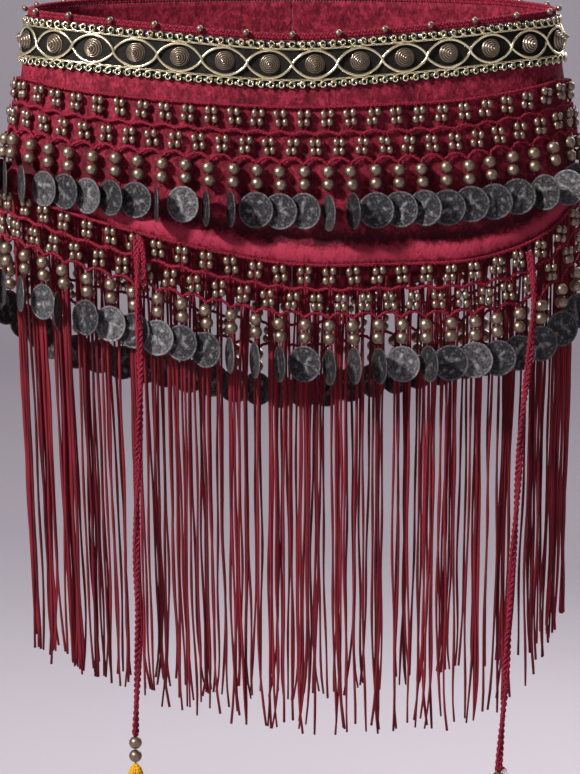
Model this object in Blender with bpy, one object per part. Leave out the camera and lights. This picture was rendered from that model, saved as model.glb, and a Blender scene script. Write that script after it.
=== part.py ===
"""Fringed belly dance belt, worn on the hips: metres, +Z up, front towards -Y, +X to the right.

The velvet panel is an oval wall round the hips. Everything sewn to it is made from its own
points, moved out: panel_point(angle, drop, out) gives a point at an angle from the centre
front, a drop below the top edge and a distance out from the cloth.
"""
from collections import Counter

import bmesh
import bpy
import numpy as np
from mathutils import Vector

BELT = "fringed_belly_dance_belt"

# Walls round the hips, counted in columns from the centre back
COLUMNS = 120
FRONT_COLUMN = COLUMNS // 2
EYES = 30
EYE_COLUMNS = COLUMNS // EYES
STRANDS = 140

# Cloth
OVAL_POWER = 2.2
OVAL_STEPS = 2880
SLOPE_STEP = np.radians(0.5)
PANEL_WALL = 0.002
SEAM_GAP = 0.0003
FOLDS = 13
FOLD_DEPTH = 0.0010
CUT_ROUNDING = np.radians(6.0)
ROUNDING_STEPS = 7

# Sections of the panel: level 0 is its top edge and level 1 its hem
SECTIONS = np.array((
    # level, half_width, front_depth, back_depth
    (0.00, 0.165, 0.068, 0.095),
    (0.32, 0.170, 0.071, 0.102),
    (1.00, 0.181, 0.077, 0.118),
))

# Cut of the belt by degrees from the centre front, right side positive
CUT = np.array((
    # angle, top_height, upper_drop, upper_stretch, hem_drop, lower_stretch, fringe_length
    (-180, 0.0413, 0.0653, 1.00, 0.2023, 1.00, 0.262),
    (-130, 0.0393, 0.0553, 1.00, 0.1653, 1.00, 0.270),
    (-90, 0.0353, 0.0393, 1.06, 0.1093, 1.00, 0.283),
    (-73, 0.0343, 0.0373, 1.06, 0.1073, 1.00, 0.286),
    (-52, 0.0323, 0.0408, 1.07, 0.1143, 1.01, 0.289),
    (-27, 0.0273, 0.0413, 1.07, 0.1253, 1.03, 0.290),
    (0, 0.0208, 0.0398, 1.10, 0.1370, 1.03, 0.289),
    (34, 0.0283, 0.0435, 1.13, 0.1430, 1.05, 0.290),
    (52, 0.0323, 0.0425, 1.09, 0.1375, 1.20, 0.286),
    (73, 0.0343, 0.0383, 1.07, 0.1163, 1.18, 0.268),
    (90, 0.0353, 0.0403, 1.07, 0.1123, 1.18, 0.262),
    (130, 0.0393, 0.0553, 1.00, 0.1653, 1.05, 0.264),
    (180, 0.0413, 0.0653, 1.00, 0.2023, 1.00, 0.262),
))
TOP_HEIGHT, UPPER_DROP, UPPER_STRETCH, HEM_DROP, LOWER_STRETCH, FRINGE_LENGTH = range(1, 7)

# Top edging
EDGING_RADIUS = 0.0017
EDGING_STEP = 3

# Metal trim: a ribbon with a raised ring and a cone stud in each cell
TRIM_TOP = 0.0003
TRIM_HEIGHT = 0.029
TRIM_WALL = 0.0010
RING_HALF_WIDTH = 0.0134
RING_HALF_HEIGHT = 0.0088
RING_RISE = 0.0014
CONE_RADIUS = 0.0064
CONE_HEIGHT = 0.0055

# Coin trims: depths below the trim's own top line, and half widths in columns
NET_OUT = 0.0005
NET_WALL = 0.0011
GAP_TOP = 0.0165
GAP_BOTTOM = 0.0265
SCALLOP_TOP = 0.0275
SCALLOP_TIP = 0.0325
GAP_HALF = 0.50
ROOT_HALF = 0.11
HEM_OVERLAP = 0.001
PERIOD_POINTS = 9

# Pendants below the scallops: two beads and a coin
PENDANT_BEADS = 2
BEAD_RADIUS = 0.0040
BEAD_OUT = 0.0048
NECK_RADIUS = 0.0009
COIN_RADIUS = 0.0113
COIN_BULGE = 0.0007
COIN_CLEARANCE = 0.0024
COIN_HANG = 0.0008
COIN_CORNERS = np.radians((60, 120, 180, 240, 300))
COIN_TURN = 13.0
COIN_TURN_SPREAD = 26.0
COIN_EDGE_ON = 72.0
EDGE_ON_SHARE = 0.90
UPPER_EDGE_ON = (49, 53, 65, 81, 83)
LOWER_EDGE_ON = (41, 57, 59, 65, 67, 71)
CALM_REACH = 0.022
GOLDEN = 0.618034

# Fringe: strands from a strip behind the hem, closing in on the hips as they fall
STRIP_HEIGHT = 0.006
STRIP_WALL = 0.0012
STRIP_OUT = -0.0027
STRAND_WIDTH = 0.0015
STRAND_TIP = 0.7
LEAN_LEFT = 0.925
LEAN_RIGHT = 0.965
LEAN_DEEP = 0.95
UNEVEN = 0.008

# Hanging cords, from the hem to their beads
CORD_DIAMETER = 0.005
CORD_SPACING = 0.0145
SPLINE_STEPS = 400
LAST_SHARE = 1e-6
LEFT_ROUTE = (
    (-0.0955, -0.0719, -0.0985), (-0.0952, -0.0737, -0.1030), (-0.0950, -0.0760, -0.1100),
    (-0.0949, -0.0776, -0.1200), (-0.0947, -0.0785, -0.1350), (-0.0940, -0.0790, -0.1550),
    (-0.0932, -0.0790, -0.1750), (-0.0932, -0.0785, -0.1950), (-0.0940, -0.0778, -0.2170),
    (-0.0949, -0.0772, -0.2400), (-0.0957, -0.0768, -0.2650), (-0.0962, -0.0766, -0.2900),
    (-0.0960, -0.0765, -0.3150), (-0.0953, -0.0765, -0.3400), (-0.0956, -0.0765, -0.3650),
    (-0.0966, -0.0765, -0.3880), (-0.0973, -0.0765, -0.4090),
)
RIGHT_ROUTE = (
    (0.1464, -0.0533, -0.1095), (0.1472, -0.0550, -0.1140), (0.1482, -0.0572, -0.1210),
    (0.1490, -0.0592, -0.1310), (0.1490, -0.0606, -0.1470), (0.1474, -0.0618, -0.1670),
    (0.1450, -0.0624, -0.1870), (0.1428, -0.0626, -0.2070), (0.1412, -0.0627, -0.2290),
    (0.1400, -0.0628, -0.2520), (0.1386, -0.0629, -0.2770), (0.1370, -0.0630, -0.3020),
    (0.1355, -0.0630, -0.3270), (0.1343, -0.0630, -0.3520), (0.1330, -0.0630, -0.3780),
    (0.1310, -0.0630, -0.4060), (0.1290, -0.0630, -0.4340),
)
CORD_BEAD_RADIUS = 0.0040
CORD_BEAD_SIDES = 6
CORD_BEAD_RINGS = 4
CORD_BEADS = 2

# Tassels
TASSEL_SIDES = 9
TASSEL_HEAD_RADIUS = 0.0050
TASSEL_HEAD_HEIGHT = 0.0120
TASSEL_SKIRT_RADIUS = 0.0065
TASSEL_STRANDS_LENGTH = 0.050
TASSEL_STRAND_INSET = 0.0009
TASSEL_SPREAD = 1.35

# Colour, roughness and metallic value of each material
MATERIALS = {
    "velvet": ((0.27, 0.04, 0.07), 0.80, 0.0),
    "crochet_thread": ((0.33, 0.03, 0.06), 0.85, 0.0),
    "antique_brass": ((0.28, 0.21, 0.11), 0.38, 0.9),
    "coin_metal": ((0.12, 0.11, 0.11), 0.40, 0.9),
    "fringe_thread": ((0.20, 0.02, 0.04), 0.75, 0.0),
    "bronze_bead": ((0.26, 0.19, 0.13), 0.35, 0.8),
    "tassel_thread": ((0.80, 0.45, 0.03), 0.70, 0.0),
}


def clear_scene():
    """Removes whatever the open file holds."""
    for thing in list(bpy.data.objects):
        bpy.data.objects.remove(thing, do_unlink=True)


def belt_collection():
    """Collection that holds the belt's pieces."""
    collection = bpy.data.collections.new(BELT)
    bpy.context.scene.collection.children.link(collection)
    return collection


def material(name):
    """Principled material from the table above."""
    finish = bpy.data.materials.get(name)
    if finish is None:
        colour, roughness, metallic = MATERIALS[name]
        finish = bpy.data.materials.new(name)
        finish.use_nodes = True
        shader = finish.node_tree.nodes["Principled BSDF"]
        shader.inputs["Base Color"].default_value = (*colour, 1.0)
        shader.inputs["Roughness"].default_value = roughness
        shader.inputs["Metallic"].default_value = metallic
    return finish


def add_piece(name, data, finish):
    """Puts a mesh or a curve into the belt's collection as one named piece."""
    piece = bpy.data.objects.new(name, data)
    data.materials.append(material(finish))
    bpy.data.collections[BELT].objects.link(piece)
    return piece


def add_body(name, bm, finish):
    """Turns a bmesh into a named piece with its faces pointing out."""
    bmesh.ops.recalc_face_normals(bm, faces=bm.faces)
    mesh = bpy.data.meshes.new(name)
    bm.to_mesh(mesh)
    bm.free()
    return add_piece(name, mesh, finish)


# Form of the panel

def oval(angle, half_width, front_depth, back_depth):
    """Superellipse round the hips: x from the sine and y from the cosine of the angle."""
    power = 2.0 / OVAL_POWER
    sine, cosine = np.sin(angle), np.cos(angle)
    depth = np.where(cosine > 0, front_depth, back_depth)
    x = half_width * np.sign(sine) * np.abs(sine) ** power
    y = -depth * np.sign(cosine) * np.abs(cosine) ** power
    return np.stack((x, y), axis=-1)


def cut(angle, column):
    """Value of the cut table at an angle, its corners rounded by a short running mean."""
    total = 0.0
    for shift in np.linspace(-CUT_ROUNDING, CUT_ROUNDING, ROUNDING_STEPS):
        turned = np.degrees(angle + shift)
        total = total + np.interp(turned, CUT[:, 0], CUT[:, column], period=360)
    return total / ROUNDING_STEPS


def oval_at(angle, level):
    """Point of the panel's oval section at a level."""
    sizes = [np.interp(level, SECTIONS[:, 0], SECTIONS[:, column]) for column in (1, 2, 3)]
    return oval(angle, *sizes)


def outward(angle, level):
    """Level unit vector that points straight out of the cloth."""
    along = oval_at(angle + SLOPE_STEP, level) - oval_at(angle - SLOPE_STEP, level)
    out = np.stack((along[..., 1], -along[..., 0]), axis=-1)
    return out / np.linalg.norm(out, axis=-1, keepdims=True)


def panel_point(angle, drop, out):
    """Point at a drop below the top edge and a distance out from the cloth."""
    angle, drop, out = np.broadcast_arrays(np.asarray(angle, float), drop, out)
    level = np.clip(drop / cut(angle, HEM_DROP), 0.0, 1.0)
    fold = FOLD_DEPTH * level * np.sin(FOLDS * angle)
    flat = oval_at(angle, level) + outward(angle, level) * (out + fold)[..., None]
    height = cut(angle, TOP_HEIGHT) - drop
    return np.concatenate((flat, height[..., None]), axis=-1)


def running_length(points):
    """Length along a line of points, from its first to each of them."""
    steps = np.linalg.norm(np.diff(points, axis=0), axis=1)
    return np.concatenate(((0.0,), np.cumsum(steps)))


def columns_round():
    """Angle of each column at equal lengths along the cloth, and that length."""
    angles = np.linspace(-np.pi, np.pi, OVAL_STEPS + 1)
    lengths = running_length(oval_at(angles, SECTIONS[1, 0]))
    wanted = np.linspace(SEAM_GAP, lengths[-1] - SEAM_GAP, COLUMNS + 1)
    return np.interp(wanted, lengths, angles), lengths[-1] / COLUMNS


ANGLES, COLUMN_LENGTH = columns_round()


def angle_of(column):
    """Angle of a column number, which may lie between two columns."""
    return float(np.interp(column, np.arange(COLUMNS + 1), ANGLES))


# Bodies from layers and from loops

def shell(inner, outer, faces, outer_faces=None):
    """Closed wall between two layers of points with a common edge."""
    bm = bmesh.new()
    low = [bm.verts.new(point) for point in inner]
    high = [bm.verts.new(point) for point in outer]
    sides = Counter()
    for face in faces:
        bm.faces.new([low[corner] for corner in reversed(face)])
        sides.update(zip(face, face[1:] + face[:1]))
    for face in outer_faces or faces:
        bm.faces.new([high[corner] for corner in face])
    rims = {}
    for start, end in sides:
        if (end, start) not in sides:
            rims[start, end] = bm.faces.new((low[start], low[end], high[end], high[start]))
    return bm, rims


def grow(bm, face, loops):
    """Extrudes a face through loops of points and returns the last face."""
    for points in loops:
        face = bmesh.ops.extrude_discrete_faces(bm, faces=[face])["faces"][0]
        for corner, point in zip(face.verts, points):
            corner.co = point
    return face


def grid_faces(rows, columns):
    """Quads of a grid whose points are numbered row by row."""
    faces = []
    for row in range(rows - 1):
        for column in range(columns - 1):
            first = row * columns + column
            faces.append((first, first + columns, first + columns + 1, first + 1))
    return faces


# Panel and its edging

def make_panel():
    """Velvet panel: an open strip round the hips whose ends meet at the centre back."""
    levels = SECTIONS[:, 0]
    drops = levels[:, None] * cut(ANGLES, HEM_DROP)[None, :]
    outer = panel_point(ANGLES[None, :], drops, 0.0).reshape(-1, 3)
    inner = panel_point(ANGLES[None, :], drops, -PANEL_WALL).reshape(-1, 3)
    bm, _ = shell(inner, outer, grid_faces(len(levels), len(ANGLES)))
    return add_body("velvet_panel", bm, "velvet")


def tube(name, points, radius, resolution, finish):
    """Plain tube with filled ends along a list of points."""
    curve = bpy.data.curves.new(name, "CURVE")
    curve.dimensions = "3D"
    curve.bevel_depth = radius
    curve.bevel_resolution = resolution
    curve.use_fill_caps = True
    spline = curve.splines.new("POLY")
    spline.points.add(len(points) - 1)
    for target, point in zip(spline.points, points):
        target.co = (*point, 1.0)
    return add_piece(name, curve, finish)


def make_edging():
    """Crochet braid that lies along the top edge of the panel."""
    drop = -(EDGING_RADIUS + SEAM_GAP)
    points = panel_point(ANGLES[::EDGING_STEP], drop, -PANEL_WALL / 2)
    return tube("edging_braid", points, EDGING_RADIUS, 0, "crochet_thread")


# Metal trim

def ribbon_loop(column, half_width, half_height, rise):
    """Oval of points on the ribbon round the middle of the cell that starts at a column."""
    middle = column + EYE_COLUMNS / 2
    corners = [(-EYE_COLUMNS / 2 + step, 1) for step in range(EYE_COLUMNS + 1)]
    corners += [(across, -up) for across, up in reversed(corners)]
    points = []
    for across, up in corners:
        turn = np.arctan2(up * TRIM_HEIGHT / 2, across * COLUMN_LENGTH)
        shift = half_width * np.cos(turn) / COLUMN_LENGTH
        drop = TRIM_TOP + TRIM_HEIGHT / 2 - half_height * np.sin(turn)
        points.append(panel_point(angle_of(middle + shift), drop, rise))
    return points


def make_metal_trim():
    """Ribbon with linked eye rings, each round a cone stud."""
    drops = np.array((TRIM_TOP, TRIM_TOP + TRIM_HEIGHT))[:, None]
    ground = SEAM_GAP + TRIM_WALL
    inner = panel_point(ANGLES[None, :], drops, SEAM_GAP).reshape(-1, 3)
    outer = panel_point(ANGLES[None, :], drops, ground).reshape(-1, 3)
    count = len(ANGLES)
    cells = []
    for first in range(0, COLUMNS, EYE_COLUMNS):
        top = list(range(first, first + EYE_COLUMNS + 1))
        cells.append(tuple(top) + tuple(count + column for column in reversed(top)))
    bm, _ = shell(inner, outer, grid_faces(2, count), cells)
    bm.faces.ensure_lookup_table()
    fronts = [face for face in bm.faces if len(face.verts) == 2 * (EYE_COLUMNS + 1)]
    for cell, face in enumerate(fronts):
        column = cell * EYE_COLUMNS
        crest = ribbon_loop(column, RING_HALF_WIDTH, RING_HALF_HEIGHT, ground + RING_RISE)
        foot = ribbon_loop(column, CONE_RADIUS, CONE_RADIUS, ground)
        top = grow(bm, face, (crest, foot))
        tip = bmesh.ops.poke(bm, faces=[top])["verts"][0]
        drop = TRIM_TOP + TRIM_HEIGHT / 2
        tip.co = panel_point(angle_of(column + EYE_COLUMNS / 2), drop, ground + CONE_HEIGHT)
    return add_body("metal_trim", bm, "antique_brass")


# Coin trims

def upper_net(angle, depth):
    """Drop of a depth below the upper trim's top line."""
    return cut(angle, UPPER_DROP) + depth * cut(angle, UPPER_STRETCH)


def lower_net(angle, depth):
    """Drop of a depth below the lower trim's top line, which runs just above the hem."""
    return cut(angle, HEM_DROP) - HEM_OVERLAP + depth * cut(angle, LOWER_STRETCH)


def net_points(first, last, net, out):
    """Points of a net from one column to another, below its own top line.

    A period is two columns wide, with its scallop tip and its gap on the odd column.
    """
    points = []
    for column in range(first, last + 1):
        if (column - first) % 2 == 0:
            places = ((0, 0.0), (0, SCALLOP_TOP))
        else:
            places = ((0, 0.0), (-GAP_HALF, GAP_TOP), (GAP_HALF, GAP_TOP),
                      (-GAP_HALF, GAP_BOTTOM), (GAP_HALF, GAP_BOTTOM),
                      (-ROOT_HALF, SCALLOP_TIP), (ROOT_HALF, SCALLOP_TIP))
        for shift, depth in places:
            angle = angle_of(column + shift)
            points.append(panel_point(angle, net(angle, depth), out))
    return points


def net_faces(periods):
    """Faces of a net round its gaps, and the edge from which each pendant hangs."""
    faces, roots = [], []
    for period in range(periods):
        start = PERIOD_POINTS * period
        (top_left, low_left, middle, gap_tl, gap_tr, gap_bl, gap_br, tip_left, tip_right,
         top_right, low_right) = range(start, start + PERIOD_POINTS + 2)
        faces += [
            (top_left, gap_tl, middle), (middle, gap_tl, gap_tr), (middle, gap_tr, top_right),
            (top_left, low_left, gap_bl, gap_tl), (gap_tr, gap_br, low_right, top_right),
            (gap_bl, low_left, tip_left), (gap_bl, tip_left, tip_right, gap_br),
            (gap_br, tip_right, low_right),
        ]
        roots.append((tip_left, tip_right))
    return faces, roots


def coin_turn(column, calm, edge_on):
    """Turn of a coin about its thread; a few coins hang edge on unless kept calm."""
    if calm:
        return np.radians(COIN_TURN)
    share = (column * GOLDEN) % 1.0
    if column in edge_on or share > EDGE_ON_SHARE:
        return np.radians(COIN_EDGE_ON)
    return np.radians(COIN_TURN + COIN_TURN_SPREAD * share ** 2)


class Hanger:
    """Frame below a scallop tip: places points across, out and down from the tip."""

    def __init__(self, column, net):
        self.angle = angle_of(column)
        self.tip = net(self.angle, SCALLOP_TIP)
        out = outward(self.angle, 1.0)
        self.out = np.array((out[0], out[1], 0.0))
        self.across = np.array((-out[1], out[0], 0.0))

    def place(self, across, out, drop):
        """World point at a distance across, out from the cloth and below the tip."""
        base = panel_point(self.angle, self.tip + drop, 0.0)
        return base + self.across * across + self.out * out

    def loop(self, radius, out, drop):
        """Four points round the thread: left, inner, right and outer."""
        return [self.place(-radius, out, drop), self.place(0, out - radius, drop),
                self.place(radius, out, drop), self.place(0, out + radius, drop)]


def add_coin(bm, face, hanger, turn, drop):
    """Coin as a thin lens: a rim of corners round two middles, below the last bead."""
    reach = COIN_CLEARANCE + COIN_RADIUS * np.sin(turn)
    out = max(BEAD_OUT, reach)
    left, inner, right, outer = face.verts
    bm.faces.remove(face)
    middle = drop + COIN_HANG + COIN_RADIUS
    rim = []
    for corner in COIN_CORNERS:
        across = -COIN_RADIUS * np.sin(corner)
        down = middle - COIN_RADIUS * np.cos(corner)
        place = hanger.place(across * np.cos(turn), out + across * np.sin(turn), down)
        rim.append(bm.verts.new(place))
    outline = [left, *rim, right]
    for side, top in ((-1, inner), (1, outer)):
        lift = side * COIN_BULGE
        place = hanger.place(-lift * np.sin(turn), out + lift * np.cos(turn), middle)
        centre = bm.verts.new(place)
        edge = [top, *outline, top]
        for start, end in zip(edge, edge[1:]):
            bm.faces.new((centre, start, end))


def add_pendant(bm, face, hanger, turn):
    """Two beads and a coin that hang from a scallop tip."""
    profile = []
    drop = 0.0
    for _ in range(PENDANT_BEADS):
        profile.append(hanger.loop(BEAD_RADIUS, BEAD_OUT, drop + BEAD_RADIUS))
        drop += 2 * BEAD_RADIUS
        profile.append(hanger.loop(NECK_RADIUS, BEAD_OUT, drop))
    last = grow(bm, face, profile)
    add_coin(bm, last, hanger, turn, drop)


def behind_cord(column):
    """Whether a pendant hangs behind one of the two cords, which start at the hem."""
    place = oval_at(angle_of(column), SECTIONS[-1, 0])
    gaps = [np.linalg.norm(place - np.array(route[0][:2])) for route in (LEFT_ROUTE, RIGHT_ROUTE)]
    return min(gaps) < CALM_REACH


def make_coin_trim(name, net, edge_on, first, last):
    """Half of a coin trim: its cut net and the pendants below it."""
    inner = net_points(first, last, net, NET_OUT)
    outer = net_points(first, last, net, NET_OUT + NET_WALL)
    faces, roots = net_faces((last - first) // 2)
    bm, rims = shell(inner, outer, faces)
    for period, root in enumerate(roots):
        column = first + 2 * period + 1
        calm = net is lower_net and behind_cord(column)
        add_pendant(bm, rims[root], Hanger(column, net), coin_turn(column, calm, edge_on))
    return add_body(name, bm, "coin_metal")


# Fringe

def strand_tip(number, angle, face):
    """Three points at a strand's lower end, drawn in towards the hips from its root."""
    uneven = UNEVEN * ((number * GOLDEN) % 1.0 - 0.5)
    fall = cut(angle, HEM_DROP) + cut(angle, FRINGE_LENGTH) + uneven
    height = float(cut(angle, TOP_HEIGHT) - fall)
    middle = face.calc_center_median()
    lean = LEAN_RIGHT if middle.x > 0 else LEAN_LEFT
    end = Vector((middle.x * lean, middle.y * LEAN_DEEP, height))
    return [end + Vector((*(corner.co - middle).xy, 0.0)) * STRAND_TIP for corner in face.verts]


def make_fringe():
    """Strip behind the hem with strands that hang from its lower edge."""
    bm = bmesh.new()
    roots, lasts = [], None
    pitch = COLUMNS / STRANDS
    half = STRAND_WIDTH / 2 / COLUMN_LENGTH
    inner_out = STRIP_OUT - STRIP_WALL
    for number in range(STRANDS):
        column = (number + 0.5) * pitch
        angle = angle_of(column)
        hem = cut(angle, HEM_DROP)
        places = ((angle, hem - STRIP_HEIGHT, STRIP_OUT), (angle, hem - STRIP_HEIGHT, inner_out),
                  (angle_of(column - half), hem, STRIP_OUT),
                  (angle_of(column + half), hem, STRIP_OUT), (angle, hem, inner_out))
        corners = [bm.verts.new(panel_point(*place)) for place in places]
        top_out, top_in, left, right, back = corners
        bm.faces.new((top_out, left, right))
        roots.append((number, angle, bm.faces.new((left, back, right))))
        if lasts is None:
            bm.faces.new((top_out, top_in, back, left))
        else:
            old_out, old_in, _, old_right, old_back = lasts
            bm.faces.new((old_out, old_right, left, top_out))
            bm.faces.new((old_in, top_in, back, old_back))
            bm.faces.new((old_out, top_out, top_in, old_in))
            bm.faces.new((old_right, old_back, back, left))
        lasts = corners
    bm.faces.new((lasts[0], lasts[3], lasts[4], lasts[1]))
    for number, angle, face in roots:
        grow(bm, face, (strand_tip(number, angle, face),))
    return add_body("fringe", bm, "fringe_thread")


# Cords and tassels

def smooth_route(route, spacing):
    """Points at even spacing on a smooth curve through the route's own points."""
    route = np.array(route)
    ends = np.vstack((2 * route[0] - route[1], route, 2 * route[-1] - route[-2]))
    share = np.linspace(0.0, len(route) - 1 - LAST_SHARE, SPLINE_STEPS)
    index = share.astype(int)
    t = (share - index)[:, None]
    p0, p1, p2, p3 = (ends[index + step] for step in range(4))
    curve = 0.5 * (2 * p1 + (p2 - p0) * t + (2 * p0 - 5 * p1 + 4 * p2 - p3) * t ** 2
                   + (3 * p1 - p0 - 3 * p2 + p3) * t ** 3)
    lengths = running_length(curve)
    count = int(round(lengths[-1] / spacing)) + 1
    wanted = np.linspace(0.0, lengths[-1], count)
    return np.stack([np.interp(wanted, lengths, curve[:, axis]) for axis in range(3)], axis=1)


def make_tassel(name, top):
    """Tassel: a bound head with strands that hang apart from its flat underside."""
    bm = bmesh.new()
    bmesh.ops.create_cone(bm, cap_ends=True, cap_tris=True, segments=TASSEL_SIDES,
                          radius1=TASSEL_SKIRT_RADIUS, radius2=TASSEL_HEAD_RADIUS,
                          depth=TASSEL_HEAD_HEIGHT)
    bmesh.ops.translate(bm, verts=bm.verts, vec=top - Vector((0, 0, TASSEL_HEAD_HEIGHT / 2)))
    bm.faces.ensure_lookup_table()
    low = top.z - TASSEL_HEAD_HEIGHT
    under = [face for face in bm.faces if max(abs(v.co.z - low) for v in face.verts) < SEAM_GAP]
    bmesh.ops.inset_individual(bm, faces=under, thickness=TASSEL_STRAND_INSET)
    for face in under:
        middle = face.calc_center_median()
        spread = Vector((middle.x - top.x, middle.y - top.y, 0.0)) * (TASSEL_SPREAD - 1)
        fall = spread - Vector((0, 0, TASSEL_STRANDS_LENGTH))
        tip = [middle + fall + (corner.co - middle) * STRAND_TIP for corner in face.verts]
        grow(bm, face, (tip,))
    return add_body(name, bm, "tassel_thread")


def make_cord(side, route):
    """Hanging cord with its two beads and its tassel."""
    points = smooth_route(route, CORD_SPACING)
    tube(f"{side}_cord", points, CORD_DIAMETER / 2, 2, "crochet_thread")
    place = Vector(points[-1])
    place.z -= SEAM_GAP
    for number in range(1, CORD_BEADS + 1):
        bm = bmesh.new()
        bmesh.ops.create_uvsphere(bm, u_segments=CORD_BEAD_SIDES, v_segments=CORD_BEAD_RINGS,
                                  radius=CORD_BEAD_RADIUS)
        middle = place - Vector((0, 0, CORD_BEAD_RADIUS))
        bmesh.ops.translate(bm, verts=bm.verts, vec=middle)
        add_body(f"{side}_cord_bead_{number}", bm, "bronze_bead")
        place.z -= 2 * CORD_BEAD_RADIUS + SEAM_GAP
    make_tassel(f"{side}_tassel", place)


def main():
    """Builds every piece of the belt."""
    clear_scene()
    belt_collection()
    make_panel()
    make_edging()
    make_metal_trim()
    for name, net, edge_on in (("upper_trim", upper_net, UPPER_EDGE_ON),
                               ("lower_trim", lower_net, LOWER_EDGE_ON)):
        make_coin_trim(f"{name}_left", net, edge_on, 0, FRONT_COLUMN)
        make_coin_trim(f"{name}_right", net, edge_on, FRONT_COLUMN, COLUMNS)
    make_fringe()
    make_cord("left", LEFT_ROUTE)
    make_cord("right", RIGHT_ROUTE)


main()
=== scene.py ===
"""Looks of a fringed belly dance belt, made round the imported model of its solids.

Metres, +Z up, front towards -Y. What lies on the cloth is made from the cloth's own points:
panel_point(angle, drop, out) gives a point at an angle from the centre front, a drop below the
top edge and a distance out from the cloth. Columns count round the belt from its centre back.
"""

import bpy
import numpy as np
from bpy.props import FloatProperty, FloatVectorProperty, IntProperty, PointerProperty
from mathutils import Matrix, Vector


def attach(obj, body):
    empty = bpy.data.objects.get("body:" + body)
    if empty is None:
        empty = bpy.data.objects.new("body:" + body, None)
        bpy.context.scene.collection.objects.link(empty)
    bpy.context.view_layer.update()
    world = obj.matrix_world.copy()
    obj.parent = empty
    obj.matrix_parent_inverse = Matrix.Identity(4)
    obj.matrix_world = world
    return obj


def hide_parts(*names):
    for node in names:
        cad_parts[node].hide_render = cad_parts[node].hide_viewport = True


bl_info = {
    "name": "Fringed belly dance belt",
    "version": (1, 0, 0),
    "blender": (4, 5, 0),
    "location": "3D View > Sidebar > Belt",
    "description": "Makes the cloth, trims, beads, coins, fringe and cords of the belt",
    "category": "Object",
}

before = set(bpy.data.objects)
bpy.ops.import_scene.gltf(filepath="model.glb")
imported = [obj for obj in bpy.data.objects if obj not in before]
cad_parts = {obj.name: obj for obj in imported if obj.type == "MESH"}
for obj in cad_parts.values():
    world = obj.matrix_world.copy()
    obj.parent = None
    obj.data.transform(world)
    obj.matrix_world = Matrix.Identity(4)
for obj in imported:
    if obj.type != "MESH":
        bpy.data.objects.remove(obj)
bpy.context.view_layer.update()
TWO_PI = 2 * np.pi
UP = (0.0, 0.0, 1.0)
FRONT = (0.0, -1.0, 0.0)

# Steps that scatter small parts evenly by their numbers
GOLDEN = 0.618034
SECOND_STEP = 0.7548
THIRD_STEP = 0.5698

# Form of the cloth
COLUMNS = 120
FRONT_COLUMN = COLUMNS // 2
EYES = 30
EYE_COLUMNS = COLUMNS // EYES
OVAL_POWER = 2.2
OVAL_STEPS = 2880
SLOPE_STEP = np.radians(0.5)
PANEL_WALL = 0.002
SEAM_GAP = 0.0003
END_GAP = 0.00003
FOLDS = 13
FOLD_DEPTH = 0.0010
CUT_ROUNDING = np.radians(6.0)
ROUNDING_STEPS = 7
SECTIONS = np.array((
    # level, half_width, front_depth, back_depth
    (0.00, 0.165, 0.068, 0.095),
    (0.32, 0.170, 0.071, 0.102),
    (1.00, 0.181, 0.077, 0.118),
))
CUT = np.array((
    # angle, top_height, upper_drop, upper_stretch, hem_drop, lower_stretch, fringe_length
    (-180, 0.0413, 0.0653, 1.00, 0.2023, 1.00, 0.262),
    (-130, 0.0393, 0.0553, 1.00, 0.1653, 1.00, 0.270),
    (-90, 0.0353, 0.0393, 1.06, 0.1093, 1.00, 0.283),
    (-73, 0.0343, 0.0373, 1.06, 0.1073, 1.00, 0.286),
    (-52, 0.0323, 0.0408, 1.07, 0.1143, 1.01, 0.289),
    (-27, 0.0273, 0.0413, 1.07, 0.1253, 1.03, 0.290),
    (0, 0.0208, 0.0398, 1.10, 0.1370, 1.03, 0.289),
    (34, 0.0283, 0.0435, 1.13, 0.1430, 1.05, 0.290),
    (52, 0.0323, 0.0425, 1.09, 0.1375, 1.20, 0.286),
    (73, 0.0343, 0.0383, 1.07, 0.1163, 1.18, 0.268),
    (90, 0.0353, 0.0403, 1.07, 0.1123, 1.18, 0.262),
    (130, 0.0393, 0.0553, 1.00, 0.1653, 1.05, 0.264),
    (180, 0.0413, 0.0653, 1.00, 0.2023, 1.00, 0.262),
))
TOP_HEIGHT, UPPER_DROP, UPPER_STRETCH, HEM_DROP, LOWER_STRETCH, FRINGE_LENGTH = range(1, 7)

# Velvet, where a pair is a least and a greatest value, or a bell's middle and width
PANEL_ROWS = 49
PANEL_STEPS = 5
CREASES = 64
CREASE_JITTER = 0.8
CREASE_LEAN = 0.030
CREASE_WIDTH = (0.0018, 0.0052)
CREASE_MIDDLE = (0.35, 0.95)
CREASE_REACH = (0.12, 0.34)
CREASE_SHARE = (0.45, 1.0)
CREASE_FADE = 0.012
CREASE_LEFT_AT_HEM = 0.25
TRIM_FADE = 0.004
HEM_SWELL = (0.0075, 0.0042)
HEM_TROUGH = (0.0170, 0.0034)
TROUGH_SHARE = 1.1
# How far out or in the cloth stands for the full painted highlight or painted shade of the velvet
SHADING_DEPTH = 0.0036

# Top edging
EDGING_STEPS = 12
EDGING_DROP = -0.0021
EDGING_THREAD = 0.00088
EDGING_PLAIT = (0.0014, 0.0007, 0.0058)
EDGING_BEADS = 29
EDGING_BEAD = (0.0020, 0.0021, 12, 7)  # radius, half height, sides, rings
EDGING_BEAD_DROP = -0.0036
EDGING_BEAD_OUT = (0.0, 0.0, 0.0024)

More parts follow.
